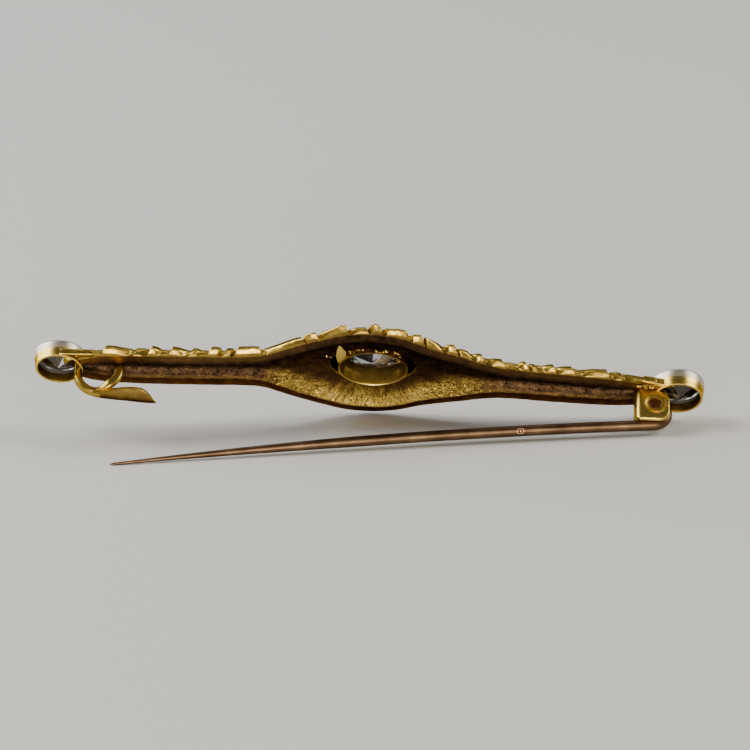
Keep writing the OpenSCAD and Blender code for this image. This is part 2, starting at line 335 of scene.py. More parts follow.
# %% [markdown]
# ## Uneven by hand
#
# Nothing made by hand is quite even. Smooth noise bends the numbers of a shape a little, and the same
# seed gives the same noise on every run. A smooth step fades one shape into another.

# %% Noise and steps
SEED_APART = 17.3


def ripple(x, y, z, seed):
    """Smooth noise from -1 to 1 at each place, the same on every run."""
    spots = np.broadcast_arrays(x, y, z)
    flat = [s.ravel() for s in spots]
    numbers = [noise.noise(Vector((a, b, c + seed * SEED_APART))) for a, b, c in zip(*flat)]
    return np.array(numbers).reshape(spots[0].shape)


def step(x, low, high):
    """0 below low, 1 above high and smooth between."""
    s = np.clip((x - low) / (high - low), 0, 1)
    return s * s * (3 - 2 * s)

# %% [markdown]
# ## Old yellow gold
#
# Gold of about 15 carat is a soft, slightly green yellow. Where fingers and cloth reach, it is bright
# with fine scratches; in the hollow it keeps a red-brown film of oxide, and the skin there is as
# granular as it came from the mould. The pieces carry numbers at each point: `film`, how much oxide
# lies there, and in a few places painted light and painted shade as well, `grain`, how rough the skin
# is, and `white`, how far the white metal of the collets' fronts shows. `run` and `over` are the way
# along the bar and around its section in millimetres, for the fine lines that the modeller's tool left
# along the hollow.

# %% Gold: its numbers and noises
gold, tree = new_material("old_yellow_gold")
spot = node(tree, "ShaderNodeTexCoord")
film, grainy, whiter, run, over = (
    node(tree, "ShaderNodeAttribute", {"attribute_name": name})
    for name in ("film", "grain", "white", "run", "over"))
cloud = node(tree, "ShaderNodeTexNoise", inputs={
    "Vector": spot.outputs["Object"], "Scale": per_mm(1.1), "Detail": 6.0, "Roughness": 0.65})
granules = node(tree, "ShaderNodeTexNoise", inputs={
    "Vector": spot.outputs["Object"], "Scale": per_mm(6.5), "Detail": 4.0, "Roughness": 0.6})
drawn = node(tree, "ShaderNodeCombineXYZ", inputs={0: run.outputs["Fac"], 1: over.outputs["Fac"]})
# lines to a millimetre along the bar and around its section
drawn_way = node(tree, "ShaderNodeVectorMath", {"operation": "MULTIPLY"}, {
    0: drawn.outputs[0], 1: (1.9, 5.5, 1.0)})
lines = node(tree, "ShaderNodeTexNoise", inputs={
    "Vector": drawn_way.outputs[0], "Scale": 1.0, "Detail": 4.0, "Roughness": 0.65,
    "Distortion": 1.4})

# %% [markdown]
# ### Oxide and painted shade in the pits, bare gold and painted glints on the hills
#
# The film is never even: it comes in clouds, and it stays in the pits and between the tool's lines
# while cloth rubs the hills bright. The pits are also darkened as painted shade and the hills lightened
# as painted glints. So the noises shift the piece's own number, and one ramp turns the sum into a
# colour, from bare gold over brown to nearly black.

# %% Gold: its colour
mottle = node(tree, "ShaderNodeMath", {"operation": "ADD"}, {0: cloud.outputs[0], 1: lines.outputs[0]})
shift_film = node(tree, "ShaderNodeMath", {"operation": "MULTIPLY_ADD"}, {
    0: mottle.outputs[0], 1: 0.75, 2: -0.75})
how_much = node(tree, "ShaderNodeMath", {"operation": "MULTIPLY_ADD"}, {
    0: film.outputs["Fac"], 1: 0.8, 2: 0.2})
spotty = node(tree, "ShaderNodeMath", {"operation": "MULTIPLY"}, {
    0: shift_film.outputs[0], 1: how_much.outputs[0]})
fewer_lines = node(tree, "ShaderNodeMath", {"operation": "MULTIPLY"}, {0: lines.outputs[0], 1: 0.85})
hills = node(tree, "ShaderNodeMath", {"operation": "MULTIPLY_ADD"}, {
    0: granules.outputs[0], 1: 0.65, 2: fewer_lines.outputs[0]})
# painted shade in the pits and painted glints on the hills, on top of the oxide
pit_oxide_and_painted_shade = node(tree, "ShaderNodeMath", {"operation": "MULTIPLY_ADD"}, {
    0: hills.outputs[0], 1: -3.0, 2: 2.24})
pitted = node(tree, "ShaderNodeMath", {"operation": "MULTIPLY_ADD"}, {
    0: pit_oxide_and_painted_shade.outputs[0], 1: grainy.outputs["Fac"], 2: film.outputs["Fac"]})
oxide = node(tree, "ShaderNodeMath", {"operation": "ADD", "use_clamp": True}, {
    0: pitted.outputs[0], 1: spotty.outputs[0]})
tone = node(tree, "ShaderNodeValToRGB", inputs={"Fac": oxide.outputs[0]})
set_stops(tone, [(0.0, "#F0D06C"), (0.2, "#C6A54A"), (0.4, "#937838"),
                 (0.6, "#6B4F2E"), (0.8, "#463322"), (1.0, "#0B0807")])
plated = node(tree, "ShaderNodeMix", {"data_type": "RGBA"}, {
    0: whiter.outputs["Fac"], 6: tone.outputs[0], 7: linear("#B9B5AE")})

# %% [markdown]
# ### Its skin under the light
#
# Two bumps sit on each other, both as strong as the piece's `grain` says: the lines of the tool, and
# the granules of the mould. Oxide is duller than metal, so the roughness grows with it.

# %% Gold: its surface
streaks = node(tree, "ShaderNodeBump", inputs={
    "Strength": grainy.outputs["Fac"], "Distance": 0.00016, "Height": lines.outputs[0]})
fine = node(tree, "ShaderNodeBump", inputs={
    "Strength": grainy.outputs["Fac"], "Distance": 0.00015, "Height": granules.outputs[0],
    "Normal": streaks.outputs[0]})
rough = node(tree, "ShaderNodeMath", {"operation": "MULTIPLY_ADD"}, {
    0: oxide.outputs[0], 1: 0.16, 2: 0.26})
gold_shader = node(tree, "ShaderNodeBsdfPrincipled", inputs={
    "Base Color": plated.outputs[2], "Metallic": 1.0, "Roughness": rough.outputs[0],
    "Specular Tint": plated.outputs[2], "Normal": fine.outputs[0]})
node(tree, "ShaderNodeOutputMaterial", inputs={"Surface": gold_shader.outputs[0]})
print("the gold has", len(tree.nodes), "nodes")

# %% [markdown]
# ## White metal
#
# The collets' fronts are of a white metal, perhaps platinum, that was turned and then polished.
# To the eye it is a cold, pale mirror with a slight haze from wear. Towards the solder seam it takes
# the colour of the gold, so the same number that whitens the gold fades it.

# %% White metal
white, tree = new_material("polished_white_metal")
spot = node(tree, "ShaderNodeTexCoord")
haze = node(tree, "ShaderNodeTexNoise", inputs={
    "Vector": spot.outputs["Object"], "Scale": per_mm(1.5), "Detail": 4.0})
haze_rough = node(tree, "ShaderNodeMath", {"operation": "MULTIPLY_ADD"}, {
    0: haze.outputs[0], 1: 0.16, 2: 0.34})
whiter = node(tree, "ShaderNodeAttribute", {"attribute_name": "white"})
fading = node(tree, "ShaderNodeMix", {"data_type": "RGBA"}, {
    0: whiter.outputs["Fac"], 6: linear("#CDAE58"), 7: linear("#B9B5AE")})
white_shader = node(tree, "ShaderNodeBsdfPrincipled", inputs={
    "Base Color": fading.outputs[2], "Metallic": 1.0, "Roughness": haze_rough.outputs[0]})
node(tree, "ShaderNodeOutputMaterial", inputs={"Surface": white_shader.outputs[0]})

# %% [markdown]
# ## Rose gold
#
# The pin is of 9 carat rose gold, whose copper gives it spring. It is drawn wire, rubbed along its
# length, so its fine scratches are long and its brown stain comes in stretches. Both follow the wire by
# two numbers at each point: millimetres along it and the way round it.

# %% Rose gold
rose, tree = new_material("rose_gold_wire")
run, over = (node(tree, "ShaderNodeAttribute", {"attribute_name": name}) for name in ("run", "over"))
way = node(tree, "ShaderNodeCombineXYZ", inputs={0: run.outputs["Fac"], 1: over.outputs["Fac"]})
# a scratch is about 3 mm long and a seventh of a millimetre wide
long_way = node(tree, "ShaderNodeVectorMath", {"operation": "MULTIPLY"}, {
    0: way.outputs[0], 1: (0.3, 7.0, 1.0)})
polish = node(tree, "ShaderNodeTexNoise", inputs={
    "Vector": long_way.outputs[0], "Scale": 1.0, "Detail": 5.0, "Roughness": 0.65})
stain = node(tree, "ShaderNodeTexNoise", inputs={
    "Vector": way.outputs[0], "Scale": 0.35, "Detail": 3.0})
rose_tone = node(tree, "ShaderNodeValToRGB", inputs={"Fac": stain.outputs[0]})
set_stops(rose_tone, [(0.3, "#4C3828"), (0.55, "#68503B"), (0.8, "#85684D")])
rose_scratch = node(tree, "ShaderNodeBump", inputs={
    "Strength": 0.1, "Distance": 0.00003, "Height": polish.outputs[0]})
rose_rough = node(tree, "ShaderNodeMath", {"operation": "MULTIPLY_ADD"}, {
    0: polish.outputs[0], 1: 0.12, 2: 0.30})
rose_shader = node(tree, "ShaderNodeBsdfPrincipled", inputs={
    "Base Color": rose_tone.outputs[0], "Metallic": 1.0, "Roughness": rose_rough.outputs[0],
    "Normal": rose_scratch.outputs[0]})
node(tree, "ShaderNodeOutputMaterial", inputs={"Surface": rose_shader.outputs[0]})

# %% [markdown]
# ## The rivet's gold
#
# A rivet is a stub of wire whose ends are hammered over. Nobody polished it afterwards, so it is dull,
# brown and dented, and hardly mirrors anything.

# %% Rivet metal
dull, tree = new_material("worn_rivet_gold")
spot = node(tree, "ShaderNodeTexCoord")
wear_and_painted_edge = node(tree, "ShaderNodeTexNoise", inputs={
    "Vector": spot.outputs["Object"], "Scale": per_mm(2.5), "Detail": 5.0})
worn_tone = node(tree, "ShaderNodeValToRGB", inputs={"Fac": wear_and_painted_edge.outputs[0]})
set_stops(worn_tone, [(0.3, "#4A301A"), (0.6, "#633F22"), (0.8, "#7A5828")])
dents = node(tree, "ShaderNodeBump", inputs={
    "Strength": 0.5, "Distance": 0.00005, "Height": wear_and_painted_edge.outputs[0]})
dull_shader = node(tree, "ShaderNodeBsdfPrincipled", inputs={
    "Base Color": worn_tone.outputs[0], "Metallic": 1.0, "Roughness": 0.45,
    "Normal": dents.outputs[0]})
node(tree, "ShaderNodeOutputMaterial", inputs={"Surface": dull_shader.outputs[0]})

# %% [markdown]
# ## Diamond
#
# Diamond bends light more than any other clear stone, with an index of 2.42, and takes a perfect
# polish. A cut stone throws most light back from inside and splits it into colours, which the renderer
# doesn't do. So each facet carries two numbers: its place on a ramp of pale fire colours and greys,
# which paints onto it the fire and the reflection that it should show, and the share of light that it
# mirrors instead of letting it through.

# %% Diamond
diamond, tree = new_material("diamond")
facet, mirror = (node(tree, "ShaderNodeAttribute", {"attribute_name": name})
                 for name in ("facet", "mirror"))
painted_fire = node(tree, "ShaderNodeValToRGB", inputs={"Fac": facet.outputs["Fac"]})
set_stops(painted_fire, [(0.0, "#A9DDF5"), (0.1, "#E6F5FC"), (0.3, "#FFF3D2"), (0.5, "#B4ADD4"),
                 (0.7, "#A0958A"), (0.85, "#65594A"), (1.0, "#121417")])
diamond_shader = node(tree, "ShaderNodeBsdfPrincipled", inputs={
    "Base Color": painted_fire.outputs[0], "Metallic": mirror.outputs["Fac"], "Roughness": 0.0,
    "IOR": 2.42, "Transmission Weight": 1.0})
node(tree, "ShaderNodeOutputMaterial", inputs={"Surface": diamond_shader.outputs[0]})
print("materials:", [material.name for material in bpy.data.materials])

# %% [markdown]
# ## The hollow bar with its leaves
#
# The bar is one casting: a row of chased leaves in front, a shallow hollow behind and a flat border
# between. It was modelled in wax over a smooth outline, so here too a few smooth curves give the width,
# the bow and the depth, and a table of leaves adds what stands past the edge.

# %% The bar's main curves
BELLY, ARM, BORDER, DEEP, WALL, EDGE, END_BOW = 6.4, 2.35, 1.0, 1.2, 0.85, 0.6, 1.05
# place along the bar, share of the way from the arms' half width to the belly's
OUTLINE = np.array([
    [-29.2, -0.30], [-27.0, -0.10], [-24.0, -0.02], [-16.8, 0.0], [-12.6, 0.01],
    [-10.6, 0.08], [-8.7, 0.31], [-6.9, 0.53], [-4.8, 0.75], [-2.6, 0.94],
    [-0.2, 1.0], [2.4, 0.90], [4.9, 0.63], [6.8, 0.46], [8.8, 0.31],
    [11.0, 0.12], [13.2, 0.02], [18.0, 0.0], [24.0, -0.06], [28.4, -0.26]])


def half_w(x):
    """Half width of the bar: a smooth curve through the rows of OUTLINE."""
    xs, ys = OUTLINE.T
    last = len(xs) - 1
    here = np.arange(last + 1)
    before, after = np.maximum(here - 1, 0), np.minimum(here + 1, last)
    slopes = (ys[after] - ys[before]) / (xs[after] - xs[before])
    i = np.clip(np.searchsorted(xs, x, side="right") - 1, 0, last - 1)
    h = xs[i + 1] - xs[i]
    s = np.clip((x - xs[i]) / h, 0, 1)
    share = ((1 + 2 * s) * (1 - s) ** 2 * ys[i] + s * (1 - s) ** 2 * h * slopes[i]
             + s * s * (3 - 2 * s) * ys[i + 1] - s * s * (1 - s) * h * slopes[i + 1])
    return ARM + (BELLY - ARM) * share


def border_b(x):
    """How far the bowed ends of the bar stand back from its middle."""
    return END_BOW * (1 - np.exp(-(x / 17) ** 2))


def hollow_d(x):
    """Depth of the hollow, which is shallower where it is narrow."""
    return DEEP * (1 - np.exp(-(half_w(x) - BORDER) / 0.8))

# %% [markdown]
# ### Leaf tips
#
# From behind, the leaves show as a band of lumps past the border. Each is high at one end, where its
# tip curls, and slopes down under the next leaf. The height in the table is that of the band as it is
# seen from the back. Part of it is the thickness of the edge, and the rest stands up past the border.

# %% Leaf tips
# start, end, height of the band at the start and at the end of the leaf
UPPER = [
    (-29.6, -27.2, 0.55, 0.48), (-26.3, -23.6, 0.98, 0.50), (-23.3, -22.0, 0.46, 0.40),
    (-21.8, -20.8, 0.90, 0.52), (-19.8, -18.3, 0.90, 0.46), (-17.9, -17.1, 0.46, 0.62),
    (-16.1, -15.0, 0.86, 0.88), (-14.6, -13.8, 0.66, 0.72), (-13.5, -11.0, 0.90, 0.92),
    (-10.5, -6.9, 0.52, 0.74), (-6.7, -5.5, 1.00, 0.86),
    (-5.2, -2.75, 0.76, 1.24), (-2.4, -0.7, 0.52, 0.66), (-0.5, 0.55, 1.05, 1.07),
    (0.9, 3.2, 0.70, 0.98), (3.5, 4.7, 0.62, 1.06), (4.9, 6.6, 1.06, 0.45),
    (7.0, 8.0, 0.84, 0.98), (8.2, 9.4, 0.68, 0.60), (9.8, 10.7, 0.58, 0.86),
    (11.1, 12.7, 0.40, 0.86), (14.3, 15.0, 0.84, 0.86), (15.3, 15.9, 0.66, 0.50),
    (16.6, 17.7, 0.62, 0.78), (18.0, 19.5, 0.54, 0.80), (20.2, 22.9, 0.40, 0.82),
    (23.2, 24.3, 0.42, 0.44), (24.4, 27.0, 0.44, 0.38)]
# start, end, how far the lower leaf tip passes the border at its start and at its end
LOWER = [
    (-29.3, -27.0, 0.03, 0.03), (-26.3, -23.4, 0.22, 0.03), (-21.7, -20.7, 0.18, 0.07),
    (-19.9, -18.3, 0.20, 0.07), (-16.0, -15.1, 0.22, 0.22), (-14.6, -13.9, 0.12, 0.15),
    (-13.5, -11.2, 0.16, 0.18), (-10.6, -7.0, 0.12, 0.18), (-6.7, -5.6, 0.20, 0.15),
    (-5.2, -2.8, 0.12, 0.30), (-2.4, -1.3, 0.16, 0.22), (-1.0, 1.1, 0.40, 0.38),
    (1.4, 3.2, 0.24, 0.14), (3.6, 5.0, 0.15, 0.24), (5.4, 7.0, 0.22, 0.07), (7.3, 8.3, 0.20, 0.16),
    (8.7, 9.9, 0.08, 0.12), (10.3, 11.4, 0.18, 0.16), (11.8, 13.4, 0.18, 0.12), (13.9, 15.5, 0.08, 0.20),
    (15.9, 16.6, 0.14, 0.10), (17.6, 18.7, 0.20, 0.16), (19.0, 20.3, 0.12, 0.08),
    (20.7, 24.0, 0.03, 0.16), (24.6, 27.2, 0.03, 0.03)]


def leaf_line(rows, x, ground, steep=0.1, slack=0.3):
    """Height of a row of leaves: each has one steep end and one that falls away more softly."""
    total = np.full_like(x, ground)
    for start, end, first, last in rows:
        left, right = (steep, slack) if first > last else (slack, steep)
        reach = min(slack, 0.45 * (end - start))
        left, right = min(left, reach), min(right, reach)
        share = np.clip((x - start) / (end - start), 0, 1)
        top = first + (last - first) * share + 0.10 * np.sin(math.pi * share)
        rising = step(x, start - left * 0.4, start + left * 0.6)
        falling = step(x, end - right * 0.6, end + right * 0.4)
        total = np.maximum(total, ground + rising * (1 - falling) * (top - ground))
    return total


def leaf_phase(rows, x):
    """How far along its leaf each place is, from 0 at the start to 1 at the end."""
    phase = np.zeros_like(x)
    for (start, *_), (after, *_) in zip(rows, rows[1:] + [(29.5, 0, 0, 0)]):
        phase = np.where((x >= start) & (x < after), (x - start) / (after - start), phase)
    return phase

# %% [markdown]
# ### The floor of the hollow
#
# The bar's skin is made of cross sections, one every 0.08 mm. Each runs from the hollow over the upper
# border, round the leaf edge, across the front and back over the lower border, and each stretch is
# worked out for all sections at once, as an array of sections by points. The wax of the hollow was
# scraped with a tool: under the collet its marks run out like rays, and on the arms they run along.

# %% Sections and hollow
N_HOLLOW, N_BORDER, N_EDGE, N_FRONT = 55, 7, 12, 27
BAR_START, BAR_END, SECTION_EVERY = -29.2, 28.2, 0.08
LOW_BORDER_WIDER, RAYS_FROM_V = 0.2, 1.0
xs = np.arange(BAR_START, BAR_END, SECTION_EVERY)
X = xs[:, None]
w, b, d = (f(xs)[:, None] for f in (half_w, border_b, hollow_d))
hw = w - BORDER
belly = np.clip((w - ARM) / (BELLY - ARM), 0, 1)

s = np.linspace(-0.985, 0.985, N_HOLLOW)[None, :]
low_hw = hw - LOW_BORDER_WIDER * (1 - belly)
hollow_v, hollow_b = np.where(s < 0, low_hw, hw) * s, b - d * (1 - np.abs(s) ** 3.4)
way = np.arctan2(hollow_v - RAYS_FROM_V, np.abs(X))
far = np.hypot(hollow_v - RAYS_FROM_V, X)
sign = np.where(X < 0, -1.0, 1.0)
broad_rays = 0.07 * ripple(way * 9, sign * far * 0.5, 0 * X, 1)
fine_rays = 0.03 * ripple(way * 22, sign * far, 0 * X, 2)
rays = (broad_rays + fine_rays) * belly
lumps = 0.03 * ripple(X * 0.8, hollow_v * 2.4, 0 * X, 3) + 0.025 * ripple(X * 5, hollow_v * 6, 0 * X, 4)
hollow_b = hollow_b + (rays + lumps) * (1 - s ** 4)
print(f"{len(xs)} sections, hollow {d.max():.2f} mm deep and {2 * hw.max():.1f} mm wide at most")

# %% [markdown]
# ### The border
#
# A flat border frames the hollow. It was filed by hand, so it falls a little outwards, has a soft burr
# at both edges, and isn't quite even in width.

# %% Border
k = np.linspace(0, 1, N_BORDER)[None, :]
lip = 0.05 * np.exp(-((k - 0.93) / 0.12) ** 2) + 0.03 * np.exp(-(k / 0.15) ** 2)
unevenness = 0.02 * ripple(X * 1.3, k * 1.5, 0 * X, 5) + 0.008 * ripple(X * 6, k * 5, 0 * X, 6)
width_waver = 0.02 * ripple(X * 1.1, 0 * k, 0 * X, 7)
border_v = hw + (w - hw) * k + width_waver
low_border_v = -(low_hw + (w - low_hw) * k + width_waver)
border_back = b - 0.2 * k ** 1.6 + lip + unevenness

# %% [markdown]
# ### The edge with its leaf tips
#
# The rows of UPPER give how high the band of leaves shows from the back. Part of that is thickness,
# which comes forward, and the rest is a rise past the border. The leaves lean away from the middle, so
# their ends are slanted, and a few creases run down them.

# %% Upper edge
LEAN_CHANGES_X = -11.2
e = np.linspace(0.06, 1, N_EDGE)[None, :]
lean_way = np.where(X < LEAN_CHANGES_X, -1.0, 1.0)
slant = X + lean_way * 0.35 * (e - 0.4)
band = leaf_line(UPPER, slant, 0.34)
calm = 1 - 0.8 * step(X, 22.0, 24.0)
band = band + calm * (0.06 * ripple(X * 1.2, e * 0.8, 0 * X, 8) + 0.025 * ripple(X * 3, e * 1.5, 0 * X, 9))
thick = 0.36 + 0.44 * np.clip(band, 0, 1.1)
rise = np.maximum((band - 0.81 * thick) / 0.58, -0.2)
crease = np.abs(ripple(X * 1.6 + lean_way * 1.8 * e, e * 0.7, 0 * X, 12)) * step(e, 0.05, 0.3)
crown_shape = np.minimum(1, 0.30 + 1.15 * e ** 0.8) * (1 - 0.45 * step(e, 0.7, 1.0))
upper_v = w + rise * crown_shape - 0.03 * crease
upper_b = b - 0.2 - thick * e

# %% [markdown]
# ### The lower edge
#
# At the lower edge the leaves hang down in front, and from behind only the ends of a few tips show past
# the border. So LOWER gives how far they pass it, and the edge under them is plain.

# %% Lower edge
low_rise = leaf_line(LOWER, X + 0.15 * e, 0.0, 0.2, 0.5) + 0.02 * ripple(X * 4, e, 0 * X, 10)
lower_v = -(w + low_rise * np.sin(e * math.pi * 0.62) - 0.08 * e ** 3)
lower_b = b - 0.2 - (EDGE + 0.05 * ripple(X * 2, e, 0 * X, 11)) * e

# %% [markdown]
# ### The front
#
# The photograph hides the front, so it is finished in the way such bars are: two rows of leaves that
# overlap outwards from a groove along the middle, with fine veins, and a calyx round the collet.

# %% Front
t = np.linspace(0.95, -0.95, N_FRONT)[None, :]
front_v = np.where(t > 0, upper_v[:, -1:] * t, -lower_v[:, -1:] * t)
edge_b = np.where(t > 0, upper_b[:, -1:], lower_b[:, -1:])
high = b - d - WALL
side = np.abs(t)
slide = X + lean_way * 1.1 * (1 - side)
phase = np.where(t > 0, leaf_phase(UPPER, slide), leaf_phase(LOWER, slide))
phase = np.where(lean_way < 0, 1 - phase, phase)
leaf_shape = (0.35 + 0.65 * phase) * step(1 - phase, 0.0, 0.14) * step(side, 0.02, 0.25)
veins = 0.035 * np.abs(np.sin((slide - lean_way * 0.6 * side * w / 2) * 9.0)) * step(side, 0.1, 0.4)
groove = 0.16 * (1 - step(side * w, 0.15, 0.4))
calyx = 0.42 * np.exp(-((np.hypot(X / 4.1, front_v / 3.0) - 1.02) / 0.12) ** 2)
front_b = high + (edge_b - high) * side ** 2.4 - 0.24 * leaf_shape * (1 - calyx) + veins - groove - calyx

# %% [markdown]
# ### One ring for each section
#
# The stretches are now joined in order, upper side one way and lower side back again, so that each
# section is a closed ring of points.

# %% Whole sections
parts_v = [hollow_v, border_v, upper_v, front_v, lower_v[:, ::-1], low_border_v[:, ::-1]]
parts_b = [hollow_b, border_back, upper_b, front_b, lower_b[:, ::-1], border_back[:, ::-1]]
rings_v, rings_b = (np.concatenate(parts, axis=1) for parts in (parts_v, parts_b))
rings = np.stack([np.broadcast_to(X, rings_v.shape), rings_v, rings_b], axis=-1)
print("the bar has", rings.shape[0], "cross sections of", rings.shape[1], "points")

# %% [markdown]
# ### Where the film lies
#
# The oxide lies dark under the collet and along the upper wall of the hollow. The belly's lower half
# and a strip near its lower edge are painted lighter, as light from above, so that the upper wall stays
# darker as painted shade, and a thin painted highlight runs along the lower wall's edge. Down the
# belly's lower slope the oxide is rubbed away, and there the bare, wrinkled gold shines.

# %% Film and grain of the bar
broad_clouds = 0.22 * ripple(X * 0.5, hollow_v * 0.7, 0 * X, 14)
cloudy = broad_clouds + 0.14 * ripple(way * 12, sign * far * 0.5, 0 * X, 15)
low_edge = 0.52 - 0.30 * step(np.abs(X), 2.0, 9.0)
bare = step(-s + cloudy, low_edge - 0.10, low_edge + 0.56) * step(belly, -0.05, 0.3)
# a painted highlight along the lower wall's edge, and painted light near the lower edge
painted_lip_highlight = step(-s, 0.84, 0.95)
painted_light_near_edge = step(-s, 0.70, 0.97) * belly
blotches = 0.16 * ripple(X * 0.9, hollow_v * 1.6, 0 * X, 17) * bare
# the belly's lower half is painted lighter, as light from above
film_hollow = (0.82 + 0.06 * (1 - belly) - 0.20 * step(-s, -0.4, 0.4) * belly - 0.46 * bare
               - 0.14 * painted_light_near_edge - 0.30 * painted_lip_highlight * (1 - bare) + blotches)
film_border = 0.80 - 0.2 * (1 - belly) * step(k, 0.1, 0.5) - 0.3 * step(k, 0.84, 0.97) + 0 * X
rubbed_and_painted_crest = 0.14 * step(e, 0.25, 0.55) * (1 - step(e, 0.6, 0.9))
# the film is heavier where the band is low and at its foot, as painted shade, and lighter towards the
# crest, as rubbing and painted highlight
film_leaves = (0.31 + 0.26 * np.clip(0.62 - band, 0, 1) + 0.3 * step(-e, -0.12, 0.0)
               + 0.12 * ripple(slant * 1.4, e * 2, 0 * X, 16) - rubbed_and_painted_crest)
film_rows = np.concatenate([film_hollow, film_border, film_leaves, 0.25 * (1 - leaf_shape),
                            0.82 + 0 * lower_v, 0.58 + 0.12 * k + 0 * X], axis=1)
grain_rows = np.concatenate([0.30 + 0.70 * bare, 0.12 + 0 * border_v, 0.10 + 0 * upper_v,
                             0.1 + 0 * front_v, 0.1 + 0 * lower_v, 0.1 + 0 * border_v], axis=1)

# %% [markdown]
# ### Which way the tool's lines run
#
# The gold's lines follow `run` and `over`. Over most of the skin these are the way along the bar and
# around its section. In the middle of the hollow they turn into the distance and the angle from the
# collet, so that there the lines spread like rays.

# %% Lines and skin of the bar
around = np.cumsum(np.hypot(np.diff(rings_v, axis=1, prepend=rings_v[:, :1]),
                            np.diff(rings_b, axis=1, prepend=rings_b[:, :1])), axis=1)
level = step(np.abs(X), 2.0, 5.5)
run_rows = rings[..., 0].copy()
run_rows[:, :N_HOLLOW] = sign * far + (X - sign * far) * level
around[:, :N_HOLLOW] = way * 5 * (1 - level) + hollow_v * level
bar = skin("leaf_bar", rings, 55, {"film": film_rows, "grain": grain_rows, "run": run_rows, "over": around})

# %% [markdown]
# ### The opening for the centre stone
#
# A hole was sawn through the bar for the collet. It is wider than the collet along the bar, which
# leaves two dark slots, and a ledge towards the front closes them. A Boolean cuts it here. A cut brings
# no film of its own to the new walls, so the walls are found by their place and painted black, as
# painted shade in the slots.

# %% Opening and seats
OPEN_LONG, OPEN_WIDE, LEDGE_LONG, LEDGE_WIDE = 4.24, 2.66, 3.46, 2.6
# the cutters carry a dark film, painted shade for the walls that they cut
painted_shade_walls = {"film": 0.97, "grain": 0.2, "run": 0.0, "over": 0.0}
angles = np.linspace(0, 2 * math.pi, 120, endpoint=False)


def cutter(name, at_x, rows):
    """An upright oval cutter, from rows of half length, half width and place b."""
    return skin(name, [[(at_x + long * math.cos(a), wide * math.sin(a), at_b) for a in angles]
                       for long, wide, at_b in rows], values=painted_shade_walls)


bar = boolean(bar, cutter("opening", 0, [
    (LEDGE_LONG, LEDGE_WIDE, -6.0), (LEDGE_LONG, LEDGE_WIDE, -1.85), (4.2, OPEN_WIDE, -1.6),
    (OPEN_LONG, OPEN_WIDE, 3.0)]), "DIFFERENCE")
spots = np.empty(len(bar.vertices) * 3)
bar.vertices.foreach_get("co", spots)
spots = (spots.reshape(-1, 3) * 1000 - SHIFT) @ LEAN
on_wall = np.hypot(spots[:, 0] / OPEN_LONG, spots[:, 2] / OPEN_WIDE) < 1.003
ledge = on_wall & (-spots[:, 1] < -1.5)
layer = bar.attributes["film"].data
numbers = np.empty(len(bar.vertices), np.float32)
layer.foreach_get("value", numbers)
# the ledge is painted black as shade, which the count below reports
layer.foreach_set("value", np.where(ledge, 1.15, numbers).astype(np.float32))
print(int(ledge.sum()), "points of the ledge in the opening are black with oxide")

# %% [markdown]
# ### Seats of the end collets
#
# The ends of the bar are filed hollow, so that the round collets nestle against them. Two round
# cutters a little smaller than the collets leave the metal touching, as solder needs it.

# %% Seats
for at_x, r in ((-30.5, 2.17), (29.8, 2.29)):
    bar = boolean(bar, cutter("seat", at_x, [(r, r, -5.0), (r, r, 5.0)]), "DIFFERENCE")
piece("leaf_bar", bar, gold, stands_for=("frame",))

# %% [markdown]
# ## Collets
#
# A collet is a strip bent to a ring and turned true, with its back rim rounded by a file. The end
# collets have a front half of white metal soldered to the gold, and the seam is polished over, so that
# one colour fades into the other. The front rim is rubbed down over the stone's edge.


# %% Turned rings
LEFT_X, RIGHT_X, LEFT_R, RIGHT_R, COLLET_H, COLLET_BACK = -30.5, 29.8, 2.3, 2.42, 1.75, 1.1
CENTRE_RX, CENTRE_RV, CENTRE_BACK, CENTRE_H = 3.42, 2.76, -0.42, 2.9


def turned(name, profile, at_x, at_b, count=120, squeeze=1.0, sharp=35, values=None):
    """A ring with a profile of rows (radius, b), turned round an axis that points out of the back."""
    a = np.linspace(0, 2 * math.pi, count, endpoint=False)[:, None]
    r, h = np.array(profile, float).T
    rings = np.stack([at_x + r * np.cos(a), squeeze * r * np.sin(a), at_b + h + 0 * a], axis=-1)
    return skin(name, rings, sharp, values, closed=True)

# %% [markdown]
# ### The end collets
#
# Each is two halves that meet in the middle of its height. Two tables give their profiles, and with
# each row how far the white metal shows there and how much film lies on it: bare on the filed rim,
# stained inside where nobody polishes.

# %% End collets
# how far out from the collet's radius, height above its front, share of white, film
GOLD_HALF = [
    (0.125, 0.875, 0.32, 0.16), (0.11, 0.975, 0.20, 0.16), (0.095, 1.075, 0.10, 0.18),
    (0.08, 1.175, 0.03, 0.20), (0.065, 1.295, 0, 0.22), (0.03, 1.59, 0, 0.24),
    (0.03, 1.65, 0, 0.05), (0.015, 1.72, 0, 0.0), (-0.03, 1.75, 0, 0.0), (-0.15, 1.76, 0, 0.1),
    (-0.21, 1.73, 0, 0.2), (-0.25, 1.65, 0, 0.35), (-0.27, 1.175, 0, 0.45), (-0.3, 0.875, 0, 0.55)]
WHITE_HALF = [
    (-0.56, 0.03, 1, 0), (-0.52, -0.01, 1, 0), (-0.3, -0.015, 1, 0), (0.05, 0.0, 1, 0),
    (0.15, 0.03, 1, 0), (0.20, 0.09, 1, 0), (0.215, 0.17, 1, 0), (0.20, 0.32, 0.96, 0),
    (0.18, 0.46, 0.85, 0), (0.16, 0.60, 0.68, 0), (0.14, 0.74, 0.48, 0), (0.125, 0.875, 0.32, 0),
    (-0.26, 0.875, 1, 0), (-0.26, 0.34, 1, 0), (-0.5, 0.14, 1, 0)]


